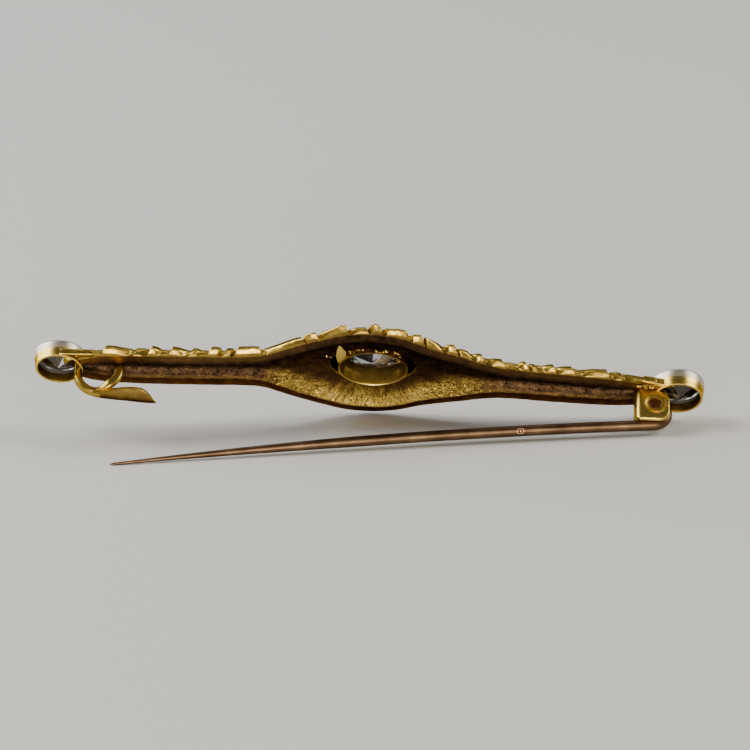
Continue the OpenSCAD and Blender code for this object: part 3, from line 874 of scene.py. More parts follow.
def collet_half(at_x, r, table):
    """One half of an end collet of radius r, turned from its table."""
    out, height, whiteness, oxide = np.array(table, float).T
    return turned("collet", np.stack([r + out, height], 1), at_x, COLLET_BACK - COLLET_H,
                  values={"white": whiteness, "film": oxide, "grain": 0.10})


for side_name, at_x, r in (("left", LEFT_X, LEFT_R), ("right", RIGHT_X, RIGHT_R)):
    piece("collet_" + side_name, collet_half(at_x, r, GOLD_HALF), gold,
          stands_for=("frame",))
    piece("white_rim_" + side_name, collet_half(at_x, r, WHITE_HALF), white,
          stands_for=("rim_" + side_name,))

# %% [markdown]
# ### The centre collet
#
# The centre collet is an oval tube whose wall falls a little inwards. Its rim is lighter at the bottom
# and darker at the top. Its outer wall is grainy and stained, and at the left a painted highlight
# lightens it.

# %% Centre collet
# how far out from its half length, height above its front, film, share of the rim's darker upper side,
# share of the outer wall, which takes grain, stain and the painted highlight
CENTRE_PROFILE = [
    (-0.85, 0.02, 0.2, 0, 0), (-0.8, -0.01, 0.1, 0, 0), (-0.4, -0.015, 0.1, 0, 0),
    (-0.12, 0.0, 0.1, 0, 0), (-0.01, 0.06, 0.1, 0, 0), (0.05, 0.2, 0.2, 0, 0), (0.04, 1.2, 0.5, 0, 1),
    (0.02, 2.0, 0.45, 0, 1), (0.01, 2.58, 0.35, 0.3, 1), (-0.02, 2.67, 0.15, 1, 0.3),
    (-0.08, 2.7, 0.05, 1, 0), (-0.15, 2.7, 0.08, 1, 0), (-0.21, 2.66, 0.16, 0.7, 0),
    (-0.25, 2.55, 0.22, 0.3, 0), (-0.30, 1.9, 0.32, 0, 0), (-0.33, 1.1, 0.44, 0, 0),
    (-0.36, 0.52, 0.6, 0, 0), (-0.72, 0.2, 0.9, 0, 0)]
HIGHLIGHT_AT, HIGHLIGHT_SPREAD = 150, 20
out, height, oxide, upper_rim, outer_wall = np.array(CENTRE_PROFILE).T
degrees = np.linspace(0, 360, 160, endpoint=False)[:, None]
# a painted highlight on the outer wall at the left, where the film is made lighter
painted_sheen = np.exp(-((degrees - HIGHLIGHT_AT) / HIGHLIGHT_SPREAD) ** 2)
darker_top = 0.38 * upper_rim * step(np.sin(np.radians(degrees)), -0.35, 0.3)
stain_and_painted_sheen = 0.22 * ripple(degrees * 0.12, height * 3, 0 * degrees, 30) - 0.42 * painted_sheen
centre_collet = turned(
    "collet", np.stack([CENTRE_RX + out, height], 1), 0, CENTRE_BACK - CENTRE_H, 160,
    (CENTRE_RV - 0.04) / CENTRE_RX,
    values={"film": oxide + darker_top + outer_wall * stain_and_painted_sheen, "grain": 0.14 + 0.3 * outer_wall})
piece("collet_centre", centre_collet, gold, stands_for=("frame",))

# %% [markdown]
# ## Old-cut diamonds
#
# An old-cut diamond has a small flat table, eight kite facets round it with eight stars between, a
# girdle with sixteen small facets above and below, eight long pavilion mains and a small flat culet.
# Every facet is a plane, so the corners are worked out from a few angles rather than placed by eye.


# %% Diamonds
def old_cut(name, r, squeeze, at_x, girdle_b, crown=0.5, pavilion=1.05, table=0.52, star=0.74,
            low=0.45, culet=0.08, turn=0.0, painted_tones=(0.35,), skirt=None, mirrors=(0.6,) * 8):
    """An old-cut stone whose table faces away from the back. Radii are shares of the girdle's. Each
    main facet of the pavilion takes its place on the ramp of painted facet tones, its painted
    reflection, from a list."""
    eighth = math.pi / 4
    half = eighth / 2
    girdle = 0.05

    def ring_of(radius, b_at, offset, count=8):
        a = np.arange(count) * 2 * math.pi / count + offset + turn
        return [(at_x + radius * r * math.cos(q), squeeze * radius * r * math.sin(q), b_at) for q in a]

    star_b = girdle_b - girdle - (1 - star * math.cos(half)) * crown / (1 - table)
    low_b = girdle_b + (1 - low * math.cos(half)) * pavilion / (1 - culet)
    points = (ring_of(table, girdle_b - girdle - crown, 0) + ring_of(star, star_b, half)
              + ring_of(1, girdle_b - girdle, 0, 16) + ring_of(1, girdle_b, 0, 16)
              + ring_of(low, low_b, half) + ring_of(culet, girdle_b + pavilion, 0))
    T, S, G, H, L, C = 0, 8, 16, 32, 48, 56
    faces = [list(range(T, T + 8)), list(range(C, C + 8))]
    for i in range(8):
        j, before = (i + 1) % 8, (i - 1) % 8
        faces += [
            [T + i, T + j, S + i], [T + i, S + i, G + 2 * i, S + before],
            [S + i, G + 2 * i, G + 2 * i + 1], [S + i, G + 2 * i + 1, G + (2 * j) % 16],
            [L + i, H + 2 * i, H + 2 * i + 1], [L + i, H + 2 * i + 1, H + (2 * j) % 16],
            [C + i, L + i, H + 2 * i, L + before], [C + i, C + j, L + i]]
    faces += [[G + i, G + (i + 1) % 16, H + (i + 1) % 16, H + i] for i in range(16)]
    mesh = bpy.data.meshes.new(name)
    mesh.from_pydata(place(points).tolist(), [], faces)
    painted_tone_of = [painted_tones[k % len(painted_tones)] for k in range(len(faces))]
    for i in range(8):
        low_tone = painted_tones[(i + 3) % 8] if skirt is None else skirt
        # crown facets painted pale, the others painted with the tone of their reflection
        painted_tone_of[2 + 8 * i:10 + 8 * i] = [0.1] * 4 + [low_tone] * 2 + [painted_tones[i]] * 2
    mirror_of = [0.0] * len(faces)
    for i in range(8):
        mirror_of[8 + 8 * i:10 + 8 * i] = [mirrors[i]] * 2
    for key, numbers in (("facet", painted_tone_of), ("mirror", mirror_of)):
        mesh.attributes.new(key, "FLOAT", "CORNER").data.foreach_set(
            "value", [number for number, face in zip(numbers, faces) for _ in face])
    finish_mesh(mesh)
    mesh.polygons.foreach_set("use_smooth", [False] * len(mesh.polygons))
    return mesh

# %% [markdown]
# ### The three stones
#
# From behind one looks into the pavilions. The centre stone's eight mains are painted with the
# reflections of different parts of the room: a pale blue facet, a cream and a violet one, two dark ones
# and warm greys. The end stones lie deep in their collets and are painted nearly black as shade, each
# with one painted highlight.

# %% Three stones
# places on the ramp of painted facet tones and shares of mirror, one for each main of the pavilion,
# anticlockwise
PAINTED_FACETS = (0.38, 0.5, 1.0, 1.0, 0.0, 0.7, 0.6, 0.3)
MIRRORS = (0.7, 0.85, 0.85, 0.85, 0.0, 0.2, 0.2, 0.1)
LEFT_PAINTED_FACETS = (0.92, 0.1, 0.88, 0.92, 0.95, 0.9, 0.85, 0.9)
RIGHT_PAINTED_FACETS = (0.92, 0.9, 0.93, 0.1, 0.9, 0.95, 0.85, 0.9)
for side_name, at_x, r, painted_tones in (("left", LEFT_X, LEFT_R, LEFT_PAINTED_FACETS),
                                  ("right", RIGHT_X, RIGHT_R, RIGHT_PAINTED_FACETS)):
    stone = old_cut("diamond", r - 0.3, 1, at_x, -0.2, low=0.7, painted_tones=painted_tones, skirt=0.9,
                    mirrors=(0.85,) * 8)
    piece("diamond_" + side_name, stone, diamond, stands_for=("stone_" + side_name,))
stone = old_cut("diamond", CENTRE_RX - 0.46, CENTRE_RV / CENTRE_RX, 0, CENTRE_BACK - CENTRE_H + 0.62,
                0.95, 1.3, low=0.62, culet=0.05, turn=math.pi / 8, painted_tones=PAINTED_FACETS, mirrors=MIRRORS)
piece("diamond_centre", stone, diamond, stands_for=("stone_centre",))

# %% [markdown]
# ## Catch
#
# The catch is a thick rounded strip bent to a loop. One limb runs on past the bottom of the loop into
# the tongue, a gutter under which the pin's point is sprung. The other limb is a thinner flat strip
# with filed edges, soldered to the bar beside the pin's way.


# %% Swept strips
def oval(half_v, half_out, power, count=20):
    """A rounded section, from an ellipse at power 2 to nearly a rectangle at power 6."""
    a = np.linspace(0, 2 * math.pi, count, endpoint=False)
    c, s = np.cos(a), np.sin(a)
    width = half_v * np.sign(c) * np.abs(c) ** (2 / power)
    thickness = half_out * np.sign(s) * np.abs(s) ** (2 / power)
    return np.stack([width, thickness], 1)


def swept(name, rows, sharp=None, values=None):
    """A section carried along rows of: x, b, way that is out of the bend, v, half width, half
    thickness and power of the section."""
    rings = []
    for x0, b0, out, v0, half_v, half_out, power in rows:
        section = oval(half_v, half_out, power)
        rings.append(np.stack([x0 + section[:, 1] * math.cos(out), v0 + section[:, 0],
                               b0 + section[:, 1] * math.sin(out)], 1))
    return skin(name, rings, sharp, values)

# %% [markdown]
# ### The loop
#
# The round limb rises from the left end of the bar and bends over the top, and the flat one comes down
# again beside the pin's way. Both follow one circle, so each row is an angle turned into a place.

# %% Loop
LOOP_X, LOOP_B, LOOP_R = -26.6, 1.50, 2.05
wire = [(LOOP_X - 2.04, 0.35 + 1.1 * f, math.pi, -0.06, 0.46 + 0.05 * (1 - f), 0.41 + 0.05 * (1 - f), 2.3)
        for f in np.linspace(0, 1, 6)]
for f in np.linspace(0.03, 1, 30):
    a = math.pi * (1 - 0.56 * f)
    wire.append((LOOP_X + LOOP_R * math.cos(a), LOOP_B + LOOP_R * math.sin(a), a, -0.06 - 0.06 * f,
                 0.46 + 0.04 * f, 0.42 - 0.03 * f, 2.4))
flat = []
for f in np.linspace(0, 1, 26):
    a = math.pi * (0.515 - 0.515 * f)
    narrow = step(f, 0.0, 0.45)
    radius = 2.02 - 0.09 * narrow
    flat.append((LOOP_X + radius * math.cos(a), LOOP_B + radius * math.sin(a), a, 0.42 + 0.28 * narrow,
                 0.15 + 0.18 * narrow, 0.18 + 0.28 * narrow, 3.5))
for f in np.linspace(0.1, 1, 8):
    flat.append((LOOP_X + 1.93, LOOP_B - 1.75 * f, 0.0, 0.70, 0.33, 0.46, 3.5))
limb = swept("limb", wire, values={"film": 0.26, "grain": 0.1})
flat_film = 0.26 + 0.3 * step(np.arange(len(flat)), len(flat) - 10, len(flat) - 5)[:, None]
flat_limb = swept("limb", flat, 45, {"film": flat_film, "grain": 0.1})

# %% [markdown]
# ### The tongue
#
# The loop was hammered out into a tongue, which widens to a shallow gutter and ends in a slanted,
# rounded lip. Its outer side is one curved sheet and its inner side another, a little narrower, so the
# edge between them looks filed.

# %% Tongue
# place along the bar, upper and lower edge v, how far the gutter's middle bulges out, thickness
TONGUE = np.array([
    [-27.6, 0.14, -0.24, 0.0, 0.30], [-27.0, 0.34, -0.44, 0.06, 0.46], [-26.2, 0.50, -0.64, 0.16, 0.50],
    [-25.2, 0.66, -0.84, 0.28, 0.42], [-24.4, 0.86, -0.98, 0.34, 0.36], [-23.8, 0.96, -1.06, 0.37, 0.33],
    [-23.0, 1.04, -1.10, 0.38, 0.31], [-22.5, 1.02, -1.13, 0.37, 0.30], [-22.1, 0.93, -1.14, 0.35, 0.28],
    [-21.8, 0.74, -1.14, 0.34, 0.27], [-21.5, 0.40, -1.14, 0.33, 0.27], [-21.25, 0.0, -1.14, 0.31, 0.26],
    [-21.05, -0.46, -1.14, 0.30, 0.25], [-20.9, -0.98, -1.13, 0.28, 0.24]])
across_t = np.sin(np.linspace(-math.pi / 2, math.pi / 2, 25))
gutter, gutter_film = [], []
for x0 in np.linspace(TONGUE[0, 0], TONGUE[-1, 0], 90):
    top_v, low_v, bulge, strong = (np.interp(x0, TONGUE[:, 0], TONGUE[:, c]) for c in range(1, 5))
    out_b = 3.74 + 0.14 * step(x0, -27.6, -26.8) + 0.30 * step(x0, -27.5, -22.5)
    middle, half_wide = (top_v + low_v) / 2, (top_v - low_v) / 2
    v_out, v_in = middle + half_wide * across_t, middle + (half_wide - 0.05) * across_t
    round_off = 0.06 * step(x0, -21.45, -21.1)
    b_out = out_b - round_off - bulge * np.clip(v_out + 0.04, -1, 1) ** 2
    b_in = out_b + round_off - strong - bulge * np.clip(v_in + 0.04, -1, 1) ** 2
    outer = np.stack([x0 + 0 * v_out, v_out, b_out], 1)
    inner = np.stack([x0 + 0 * v_in, v_in, b_in], 1)
    gutter.append(np.concatenate([outer, inner[::-1]]))
    # painted light: the gutter is lighter towards its upper edge, and a painted highlight runs along that
    # edge near the lip
    wear_and_painted_edge = 0.4 * step(across_t, 0.9, 0.97) * step(x0, -23.2, -22.4)
    stain_and_painted_light = 0.64 - 0.20 * step(across_t, -0.7, 0.9) - wear_and_painted_edge
    gutter_film.append(np.concatenate([stain_and_painted_light, stain_and_painted_light[::-1]]))
tongue = skin("tongue", gutter, 50, {"film": gutter_film, "grain": 0.06})
piece("catch", join("catch", [limb, flat_limb, tongue], 50), gold, stands_for=("frame",))

# %% [markdown]
# ## Leaf tips over the end collets
#
# At each end the last leaf was drawn out and soldered over the collet's wall, which holds the collet
# far better than a butt joint would. They are short flat strips with a blunt, filed end.

# %% Leaf tips over the collets
# first and last x, v and b, half width along b and half thickness, from the collet to the leaf
TIPS = [(-30.42, -27.3, 2.44, 2.12, 0.78, 0.50, 0.34, 0.34, 0.13, 0.2),
        (28.3, 26.2, 2.06, 2.26, 0.80, 0.56, 0.40, 0.36, 0.20, 0.16)]
BLUNT_END = (0.3, 0.75, 0.93)
tips = []
for number, (x0, x1, v0, v1, b0, b1, wide0, wide1, thick0, thick1) in enumerate(TIPS):
    tip_rings = []
    for i, f in enumerate(np.concatenate([[0, 0, 0], np.linspace(0.015, 1, 40)])):
        section = oval(wide0 + (wide1 - wide0) * f, thick0 + (thick1 - thick0) * f, 4.0, 24)
        blunt = BLUNT_END[i] if i < len(BLUNT_END) else 1.0
        uneven = 0.05 * ripple(x0 * 3 + 9 * f, section[:, 0] * 2, 0 * section[:, 0], 20 + number)
        tip_rings.append(np.stack([
            x0 + (x1 - x0) * f + 0 * uneven, v0 + (v1 - v0) * f + section[:, 1] * blunt + uneven,
            b0 + (b1 - b0) * f + section[:, 0] * blunt], 1))
    # the blunt end is painted lighter as a highlight
    painted_bright_end = np.where(np.arange(len(tip_rings)) < 6, 0.0, 0.26)[:, None]
    tips.append(skin("tip", tip_rings, 50, {"film": painted_bright_end, "grain": 0.12}))

# %% [markdown]
# ### Solder
#
# Solder flows where the flame draws it. Along the joint's foot it set as a low, uneven bead. Between
# the centre collet and the hollow's upper wall it bridged the gap with a small web, which was filed
# flat and is now the brightest spot of the hollow.

# %% Bead and web
BEAD_X, BEAD_V, BEAD_B, BEAD_HALF = 26.95, 1.42, 0.93, 1.3
bead = []
for x0 in np.linspace(25.7, 28.2, 40):
    section = oval(0.34, 0.12, 2.0, 20)
    ends = 0.25 + 0.75 * math.sqrt(max(0.0, 1 - ((x0 - BEAD_X) / BEAD_HALF) ** 2))
    uneven = 0.12 * ripple(x0 * 2.2, section[:, 0] * 2, 0 * section[:, 0], 25)
    bead.append(np.stack([x0 + 0 * uneven, BEAD_V + section[:, 0] * ends + uneven,
                          BEAD_B + section[:, 1] * ends + uneven], 1))
tips.append(skin("bead", bead, 60, {"film": 0.5, "grain": 0.2}))

# v, left and right x, b
WEB = np.array([[0.85, -3.40, -3.24, -0.62], [1.3, -3.56, -3.0, -0.60], [1.9, -3.66, -2.72, -0.64],
                [2.5, -3.64, -2.72, -0.72], [3.0, -3.56, -3.1, -0.82], [3.3, -3.46, -3.36, -0.92]])
WEB_THICK = 0.30
share = np.linspace(0, 1, 9)
web = []
for v0 in np.linspace(WEB[0, 0], WEB[-1, 0], 30):
    left, right, b0 = (np.interp(v0, WEB[:, 0], WEB[:, c]) for c in (1, 2, 3))
    line_x, line_v = left + (right - left) * share, v0 + 0 * share
    over_it = np.stack([line_x, line_v, b0 + 0.05 * np.sin(math.pi * share)], 1)
    under_it = np.stack([line_x, line_v, b0 - WEB_THICK + 0 * share], 1)
    web.append(np.concatenate([over_it, under_it[::-1]]))
tips.append(skin("web", web, 40, {"film": -0.1, "grain": 0.1}))
piece("leaf_tips", join("leaf_tips", tips, 50), gold)

# %% [markdown]
# ## Joint and rivet
#
# The joint is a strip folded to a U, with the pin's eye between its cheeks and a rivet through all
# three. So it is a strip here too: a section with filed edges, carried round the fold from the end of
# the upper cheek to the end of the lower one. The upper cheek is a little dished around the rivet.


# %% The strip's section
def strip_section(low_b, high_b, half, edge):
    """A flat section with rounded edges, as points (b, offset outwards)."""
    round_end = np.linspace(0, math.pi / 2, 6)
    corner = np.stack([edge * np.sin(round_end), edge * (1 - np.cos(round_end))], 1)
    out_flat = np.linspace(low_b + edge, high_b - edge, 30)[1:-1]
    in_flat = np.linspace(high_b - edge, low_b + edge, 8)[1:-1]
    a = np.stack([low_b + edge - edge * np.cos(round_end), half - edge + edge * np.sin(round_end)], 1)
    b = np.stack([high_b - edge + edge * np.sin(round_end), half - edge + edge * np.cos(round_end)], 1)
    return np.concatenate([
        a, np.stack([out_flat, half + 0 * out_flat], 1), b, b[::-1] * (1, -1),
        np.stack([in_flat, -half + 0 * in_flat], 1), a[::-1] * (1, -1)])

# %% [markdown]
# ### Folding the strip
#
# The way of the strip is a list of places with the direction that is outwards there: along the upper
# cheek, round the bend, and the same mirrored. At each place the section is cut to the cheek's outline:
# the free corner is rounded, the fold is cut lower than the cheeks so that the pin can swing over it,
# and the foot rises over the bowed end of the bar.

# %% The joint
PLATE_IN, PLATE_OUT, FOLD_X, FREE_X = 0.58, 1.08, HINGE_X - 2.0, HINGE_X + 1.40
BEND, END_ROUND, FOLD_TOP = 0.4, 0.15, 3.72
UPPER_CHEEK, LOWER_CHEEK = (4.44, 1.1), (3.9, 0.8)
FILED_EDGE, DISH = 0.22, 0.11
mid_v, half = (PLATE_IN + PLATE_OUT) / 2, (PLATE_OUT - PLATE_IN) / 2
bend_x = FOLD_X + half + BEND
# place x, v and way outwards of the strip's middle, and its half thickness
ways = [(FREE_X - END_ROUND + END_ROUND * math.sin(q), mid_v, math.pi / 2,
         half - END_ROUND + END_ROUND * math.cos(q)) for q in np.linspace(math.pi / 2, 0, 6)]
ways += [(x0, mid_v, math.pi / 2, half) for x0 in np.linspace(FREE_X - 0.2, bend_x, 34)]
ways += [(bend_x + BEND * math.cos(q), mid_v - BEND + BEND * math.sin(q), q, half)
         for q in np.linspace(math.pi / 2, math.pi, 9)[1:]]
ways += [(x0, -v0, -out, thick) for x0, v0, out, thick in ways[::-1]]
joint_rings, joint_film = [], []
for i, (x0, v0, out, thick) in enumerate(ways):
    high_b, corner = UPPER_CHEEK if i < len(ways) / 2 else LOWER_CHEEK
    outer_x = min(x0 + END_ROUND * math.cos(out), FREE_X - 0.02)
    from_end = max(0.0, outer_x - (FREE_X - corner))
    high_b -= corner - math.sqrt(corner ** 2 - from_end ** 2)
    if abs(v0) < mid_v - 0.02:
        high_b = FOLD_TOP + (high_b - FOLD_TOP) * float(step(abs(v0), 0.45, mid_v))
    low_b = float(np.interp(outer_x, [HINGE_X - 0.4, HINGE_X + 1.0, FREE_X], [0.2, 1.0, 1.75]))
    section = strip_section(low_b, high_b, thick, min(FILED_EDGE, 0.9 * thick))
    at_b, offset = section[:, 0], section[:, 1].copy()
    if out == math.pi / 2:
        reach = np.hypot(x0 - HINGE_X - 0.05, at_b - HINGE_B - 0.02)
        offset -= DISH * (1 - step(reach, 0.72, 1.22)) * (offset > 0)
    joint_rings.append(np.stack([x0 + offset * math.cos(out), v0 + offset * math.sin(out), at_b], 1))
    from_edge = min(FREE_X - outer_x, outer_x - FOLD_X - 0.1)
    inward = np.minimum(high_b - at_b, from_edge)
    # painted shade: the film is heavier near the foot, where the joint meets the bar; it is lighter towards
    # the strip's edges
    joint_film.append(0.08 + 0.11 * step(inward, 0.1, 0.6) + 0.30 * step(-at_b, -1.5, -0.8))
joint = skin("joint", joint_rings, 60, {"film": joint_film, "grain": 0.12})
piece("joint", joint, gold, stands_for=("frame",))

# %% [markdown]
# ### The rivet
#
# The rivet's ends are spread by the hammer to low domes, a little wider than its shank. A profile of
# one end serves both, turned round the hinge's axis.

# %% The rivet
# radius, height v
head = [(0.0, 1.05), (0.2, 1.048), (0.40, 1.04), (0.54, 1.025), (0.62, 1.0), (0.66, 0.965), (0.62, 0.93)]
profile = head + [(0.62, 0.0)] + [(r0, -v0) for r0, v0 in head[::-1]]
angles = np.linspace(0, 2 * math.pi, 64, endpoint=False)
rivet_rings = [[(HINGE_X + max(r0, 0.01) * math.cos(a), v0, HINGE_B + max(r0, 0.01) * math.sin(a))
                for a in angles] for r0, v0 in profile]
piece("rivet_head", skin("rivet", rivet_rings, 50), dull, stands_for=("rivet",))

# %% [markdown]
# ## Pin
#
# The pin is drawn wire, tapered to a point and bowed a little, with its root bent round into the eye
# between the cheeks. A wire follows a path, so Geometry Nodes sweeps it: the path comes in as a line,
# and the tree rounds it to a tube whose radius falls off towards the point.

# %% The pin's way
PIN_OPEN, PIN_OFFSET, PIN_LEN, PIN_BOW = math.radians(8.3), 1.85, 53.0, 0.6
PIN_R, TIP_R, BEND_R, BEND_BACK = 0.53, 0.12, 1.4, 0.25


def swing(x0, y0):
    """From the pin's own plane, with its eye at 0, to the brooch's x and b."""
    c, s = math.cos(PIN_OPEN), math.sin(PIN_OPEN)
    return HINGE_X + x0 * c - y0 * s, HINGE_B - (x0 * s + y0 * c)


path = [(BEND_R * math.cos(a) - BEND_BACK, BEND_R * math.sin(a) - (PIN_OFFSET - BEND_R))
        for a in np.radians(np.linspace(24, -84, 28))]
path += [(-BEND_BACK - PIN_LEN * q, -(PIN_OFFSET - 4 * PIN_BOW * q * (1 - q)))
         for q in np.linspace(0, 1, 160)]
points = place([(swing(*p)[0], 0, swing(*p)[1]) for p in path])
wire_path = bpy.data.curves.new("wire_path", "CURVE")
wire_path.dimensions = "3D"
spline = wire_path.splines.new("POLY")
spline.points.add(len(points) - 1)
for point, spot_m in zip(spline.points, points):
    point.co = (*spot_m, 1)
lengths = np.linalg.norm(np.diff(points, axis=0), axis=1)
print(f"the pin's wire is {lengths.sum() * 1000:.1f} mm long")

# %% [markdown]
# ### A tree that draws wire
#
# The tree has its sizes as named inputs. The radius stays as it is up to the start of the taper and
# then falls off faster and faster, and both ends are rounded over their last hair's breadth.


# %% Wire tree
def new_tree(name, inputs, output):
    """An empty Geometry Nodes tree with named inputs and one output, and its input node."""
    tree = bpy.data.node_groups.new(name, "GeometryNodeTree")
    tree.is_modifier = True
    for socket, kind in inputs.items():
        tree.interface.new_socket(name=socket, in_out="INPUT", socket_type="NodeSocket" + kind)
    tree.interface.new_socket(name=output, in_out="OUTPUT", socket_type="NodeSocketGeometry")
    return tree, node(tree, "NodeGroupInput").outputs


sweep, given = new_tree("drawn_wire", {
    "Path": "Geometry", "Root radius": "Float", "Point radius": "Float", "Taper start": "Float",
    "Sides": "Int", "Metal": "Material"}, "Wire")
along = node(sweep, "GeometryNodeSplineParameter").outputs["Factor"]
past = node(sweep, "ShaderNodeMapRange", inputs={0: along, 1: given["Taper start"], 2: 1.0})
curve_off = node(sweep, "ShaderNodeMath", {"operation": "POWER"}, {0: past.outputs[0], 1: 1.3})
radius = node(sweep, "ShaderNodeMapRange", inputs={
    0: curve_off.outputs[0], 3: given["Root radius"], 4: given["Point radius"]})
start = node(sweep, "ShaderNodeMapRange", {"interpolation_type": "SMOOTHERSTEP"}, {
    0: along, 1: -0.006, 2: 0.02, 3: 0.3, 4: 1.0})
end = node(sweep, "ShaderNodeMapRange", {"interpolation_type": "SMOOTHERSTEP"}, {
    0: along, 1: 0.992, 2: 1.0, 3: 1.0, 4: 0.35})
rounded_root = node(sweep, "ShaderNodeMath", {"operation": "MULTIPLY"}, {
    0: radius.outputs[0], 1: start.outputs[0]})
rounded_ends = node(sweep, "ShaderNodeMath", {"operation": "MULTIPLY"}, {
    0: rounded_root.outputs[0], 1: end.outputs[0]})
finely = node(sweep, "GeometryNodeResampleCurve", inputs={"Curve": given["Path"], "Count": 420})
ring = node(sweep, "GeometryNodeCurvePrimitiveCircle", inputs={
    "Resolution": given["Sides"], "Radius": 1.0})
tube = node(sweep, "GeometryNodeCurveToMesh", inputs={
    "Curve": finely.outputs[0], "Profile Curve": ring.outputs[0], "Scale": rounded_ends.outputs[0],
    "Fill Caps": True})
smooth = node(sweep, "GeometryNodeSetShadeSmooth", inputs={"Geometry": tube.outputs[0]})
real = node(sweep, "GeometryNodeRealizeInstances", inputs={"Geometry": smooth.outputs[0]})
metal = node(sweep, "GeometryNodeSetMaterial", inputs={
    "Geometry": real.outputs[0], "Material": given["Metal"]})
node(sweep, "NodeGroupOutput", inputs={"Wire": metal.outputs[0]})

# %% [markdown]
# ### From the tree to the pin
#
# A tree runs as a modifier, and its inputs are set by their sockets' identifiers. The result is taken
# as a plain mesh. The eye is a turned ring with filed edges, and the wire's root enters it. Each point
# then gets its millimetres along the wire and its place round it, which the rose gold reads.


# %% Pin
def grow(name, source, tree, settings):
    """Runs a node tree on a mesh or curve and gives the plain mesh that it makes."""
    holder = bpy.data.objects.new(name, source)
    bpy.context.scene.collection.objects.link(holder)
    modifier = holder.modifiers.new(name, "NODES")
    modifier.node_group = tree
    for socket in tree.interface.items_tree:
        if socket.in_out == "INPUT" and socket.name in settings:
            modifier[socket.identifier] = settings[socket.name]
    seen = holder.evaluated_get(bpy.context.evaluated_depsgraph_get())
    mesh = bpy.data.meshes.new_from_object(seen)
    bpy.data.objects.remove(holder)
    return mesh


shank = grow("pin_wire", wire_path, sweep, {
    "Root radius": PIN_R * 0.001, "Point radius": TIP_R * 0.001, "Taper start": 0.55, "Sides": 28,
    "Metal": rose})
print("the pin's wire has", len(shank.vertices), "points")
# radius and height of the eye's profile
EYE = [(1.08, -0.46), (1.1, -0.42), (1.1, 0.42), (1.08, 0.46), (1.02, 0.5), (0.72, 0.5), (0.67, 0.45),
       (0.67, -0.45), (0.72, -0.5), (1.02, -0.5)]
a = np.linspace(0, 2 * math.pi, 72, endpoint=False)[:, None]
r0, v0 = np.array(EYE).T
eye_rings = np.stack([HINGE_X + r0 * np.cos(a), v0 + 0 * a, HINGE_B + r0 * np.sin(a)], -1)
pin_mesh = join("pin", [finish_mesh(shank), skin("eye", eye_rings, 40, closed=True)], 45)
co = np.empty(len(pin_mesh.vertices) * 3)
pin_mesh.vertices.foreach_get("co", co)
co = co.reshape(-1, 3)
axis_y, axis_z = (np.interp(co[:, 0], points[::-1, 0], points[::-1, c]) for c in (1, 2))
turn_at = np.arctan2(co[:, 2] - axis_z, co[:, 1] - axis_y)
for key, numbers in (("run", co[:, 0] * 1000), ("over", np.sin(turn_at) * 0.5)):
    pin_mesh.attributes.new(key, "FLOAT", "POINT").data.foreach_set("value", numbers.astype(np.float32))
piece("pin_wire", pin_mesh, rose, "pin", stands_for=("pin",))

# %% [markdown]
# ## Solder grains
#
# Where the collet, the catch and the joint were soldered, small beads of solder and casting grains were
# left, because no file reaches there. Geometry Nodes strew them: narrow strips follow the seams, points
# are scattered over them with a fixed seed, and each gets a small ball of its own size and stain.

# %% Grain tree
strew, given = new_tree("solder_grains", {
    "Seams": "Geometry", "Density": "Float", "Smallest": "Float", "Largest": "Float", "Seed": "Int",
    "Metal": "Material"}, "Grains")
scatter = node(strew, "GeometryNodeDistributePointsOnFaces", inputs={
    "Mesh": given["Seams"], "Density": given["Density"], "Seed": given["Seed"]})
ball = node(strew, "GeometryNodeMeshIcoSphere", inputs={"Radius": 1.0, "Subdivisions": 2})
size = node(strew, "FunctionNodeRandomValue", {"data_type": "FLOAT"}, {
    2: given["Smallest"], 3: given["Largest"], 8: given["Seed"]})
turned_by = node(strew, "FunctionNodeRandomValue", {"data_type": "FLOAT_VECTOR"}, {
    0: (0.0, 0.0, 0.0), 1: (6.28, 6.28, 6.28), 8: given["Seed"]})
squash = node(strew, "ShaderNodeVectorMath", {"operation": "MULTIPLY"}, {
    0: size.outputs[1], 1: (1.25, 0.95, 0.8)})
set_down = node(strew, "GeometryNodeInstanceOnPoints", inputs={
    "Points": scatter.outputs["Points"], "Instance": ball.outputs["Mesh"],
    "Rotation": turned_by.outputs[0], "Scale": squash.outputs[0]})
stain = node(strew, "FunctionNodeRandomValue", {"data_type": "FLOAT"}, {2: 0.0, 3: 0.3, 8: 5})
stain_and_painted_light = node(strew, "GeometryNodeStoreNamedAttribute", {"data_type": "FLOAT", "domain": "INSTANCE"}, {
    "Geometry": set_down.outputs[0], "Name": "film", "Value": stain.outputs[1]})
real = node(strew, "GeometryNodeRealizeInstances", inputs={"Geometry": stain_and_painted_light.outputs[0]})
smooth = node(strew, "GeometryNodeSetShadeSmooth", inputs={"Geometry": real.outputs[0]})
metal = node(strew, "GeometryNodeSetMaterial", inputs={
    "Geometry": smooth.outputs[0], "Material": given["Metal"]})
node(strew, "NodeGroupOutput", inputs={"Grains": metal.outputs[0]})

# %% [markdown]
# ### The seams
#
# Five seams carry grains: over the centre collet, beside its left slot, and at the feet of the loop, of
# the joint and of the right collet. Each is a narrow strip of faces between two lines on the metal, and
# it is gone again once the tree has run.


# %% Seams and grains
def seam(x_from, x_to, count, sides):
    """A narrow strip along the bar between two lines, given as rows of v and b."""
    along_x = np.linspace(x_from, x_to, count)
    return [np.stack([along_x, v + 0 * along_x, b + 0 * along_x], 1) for v, b in sides]


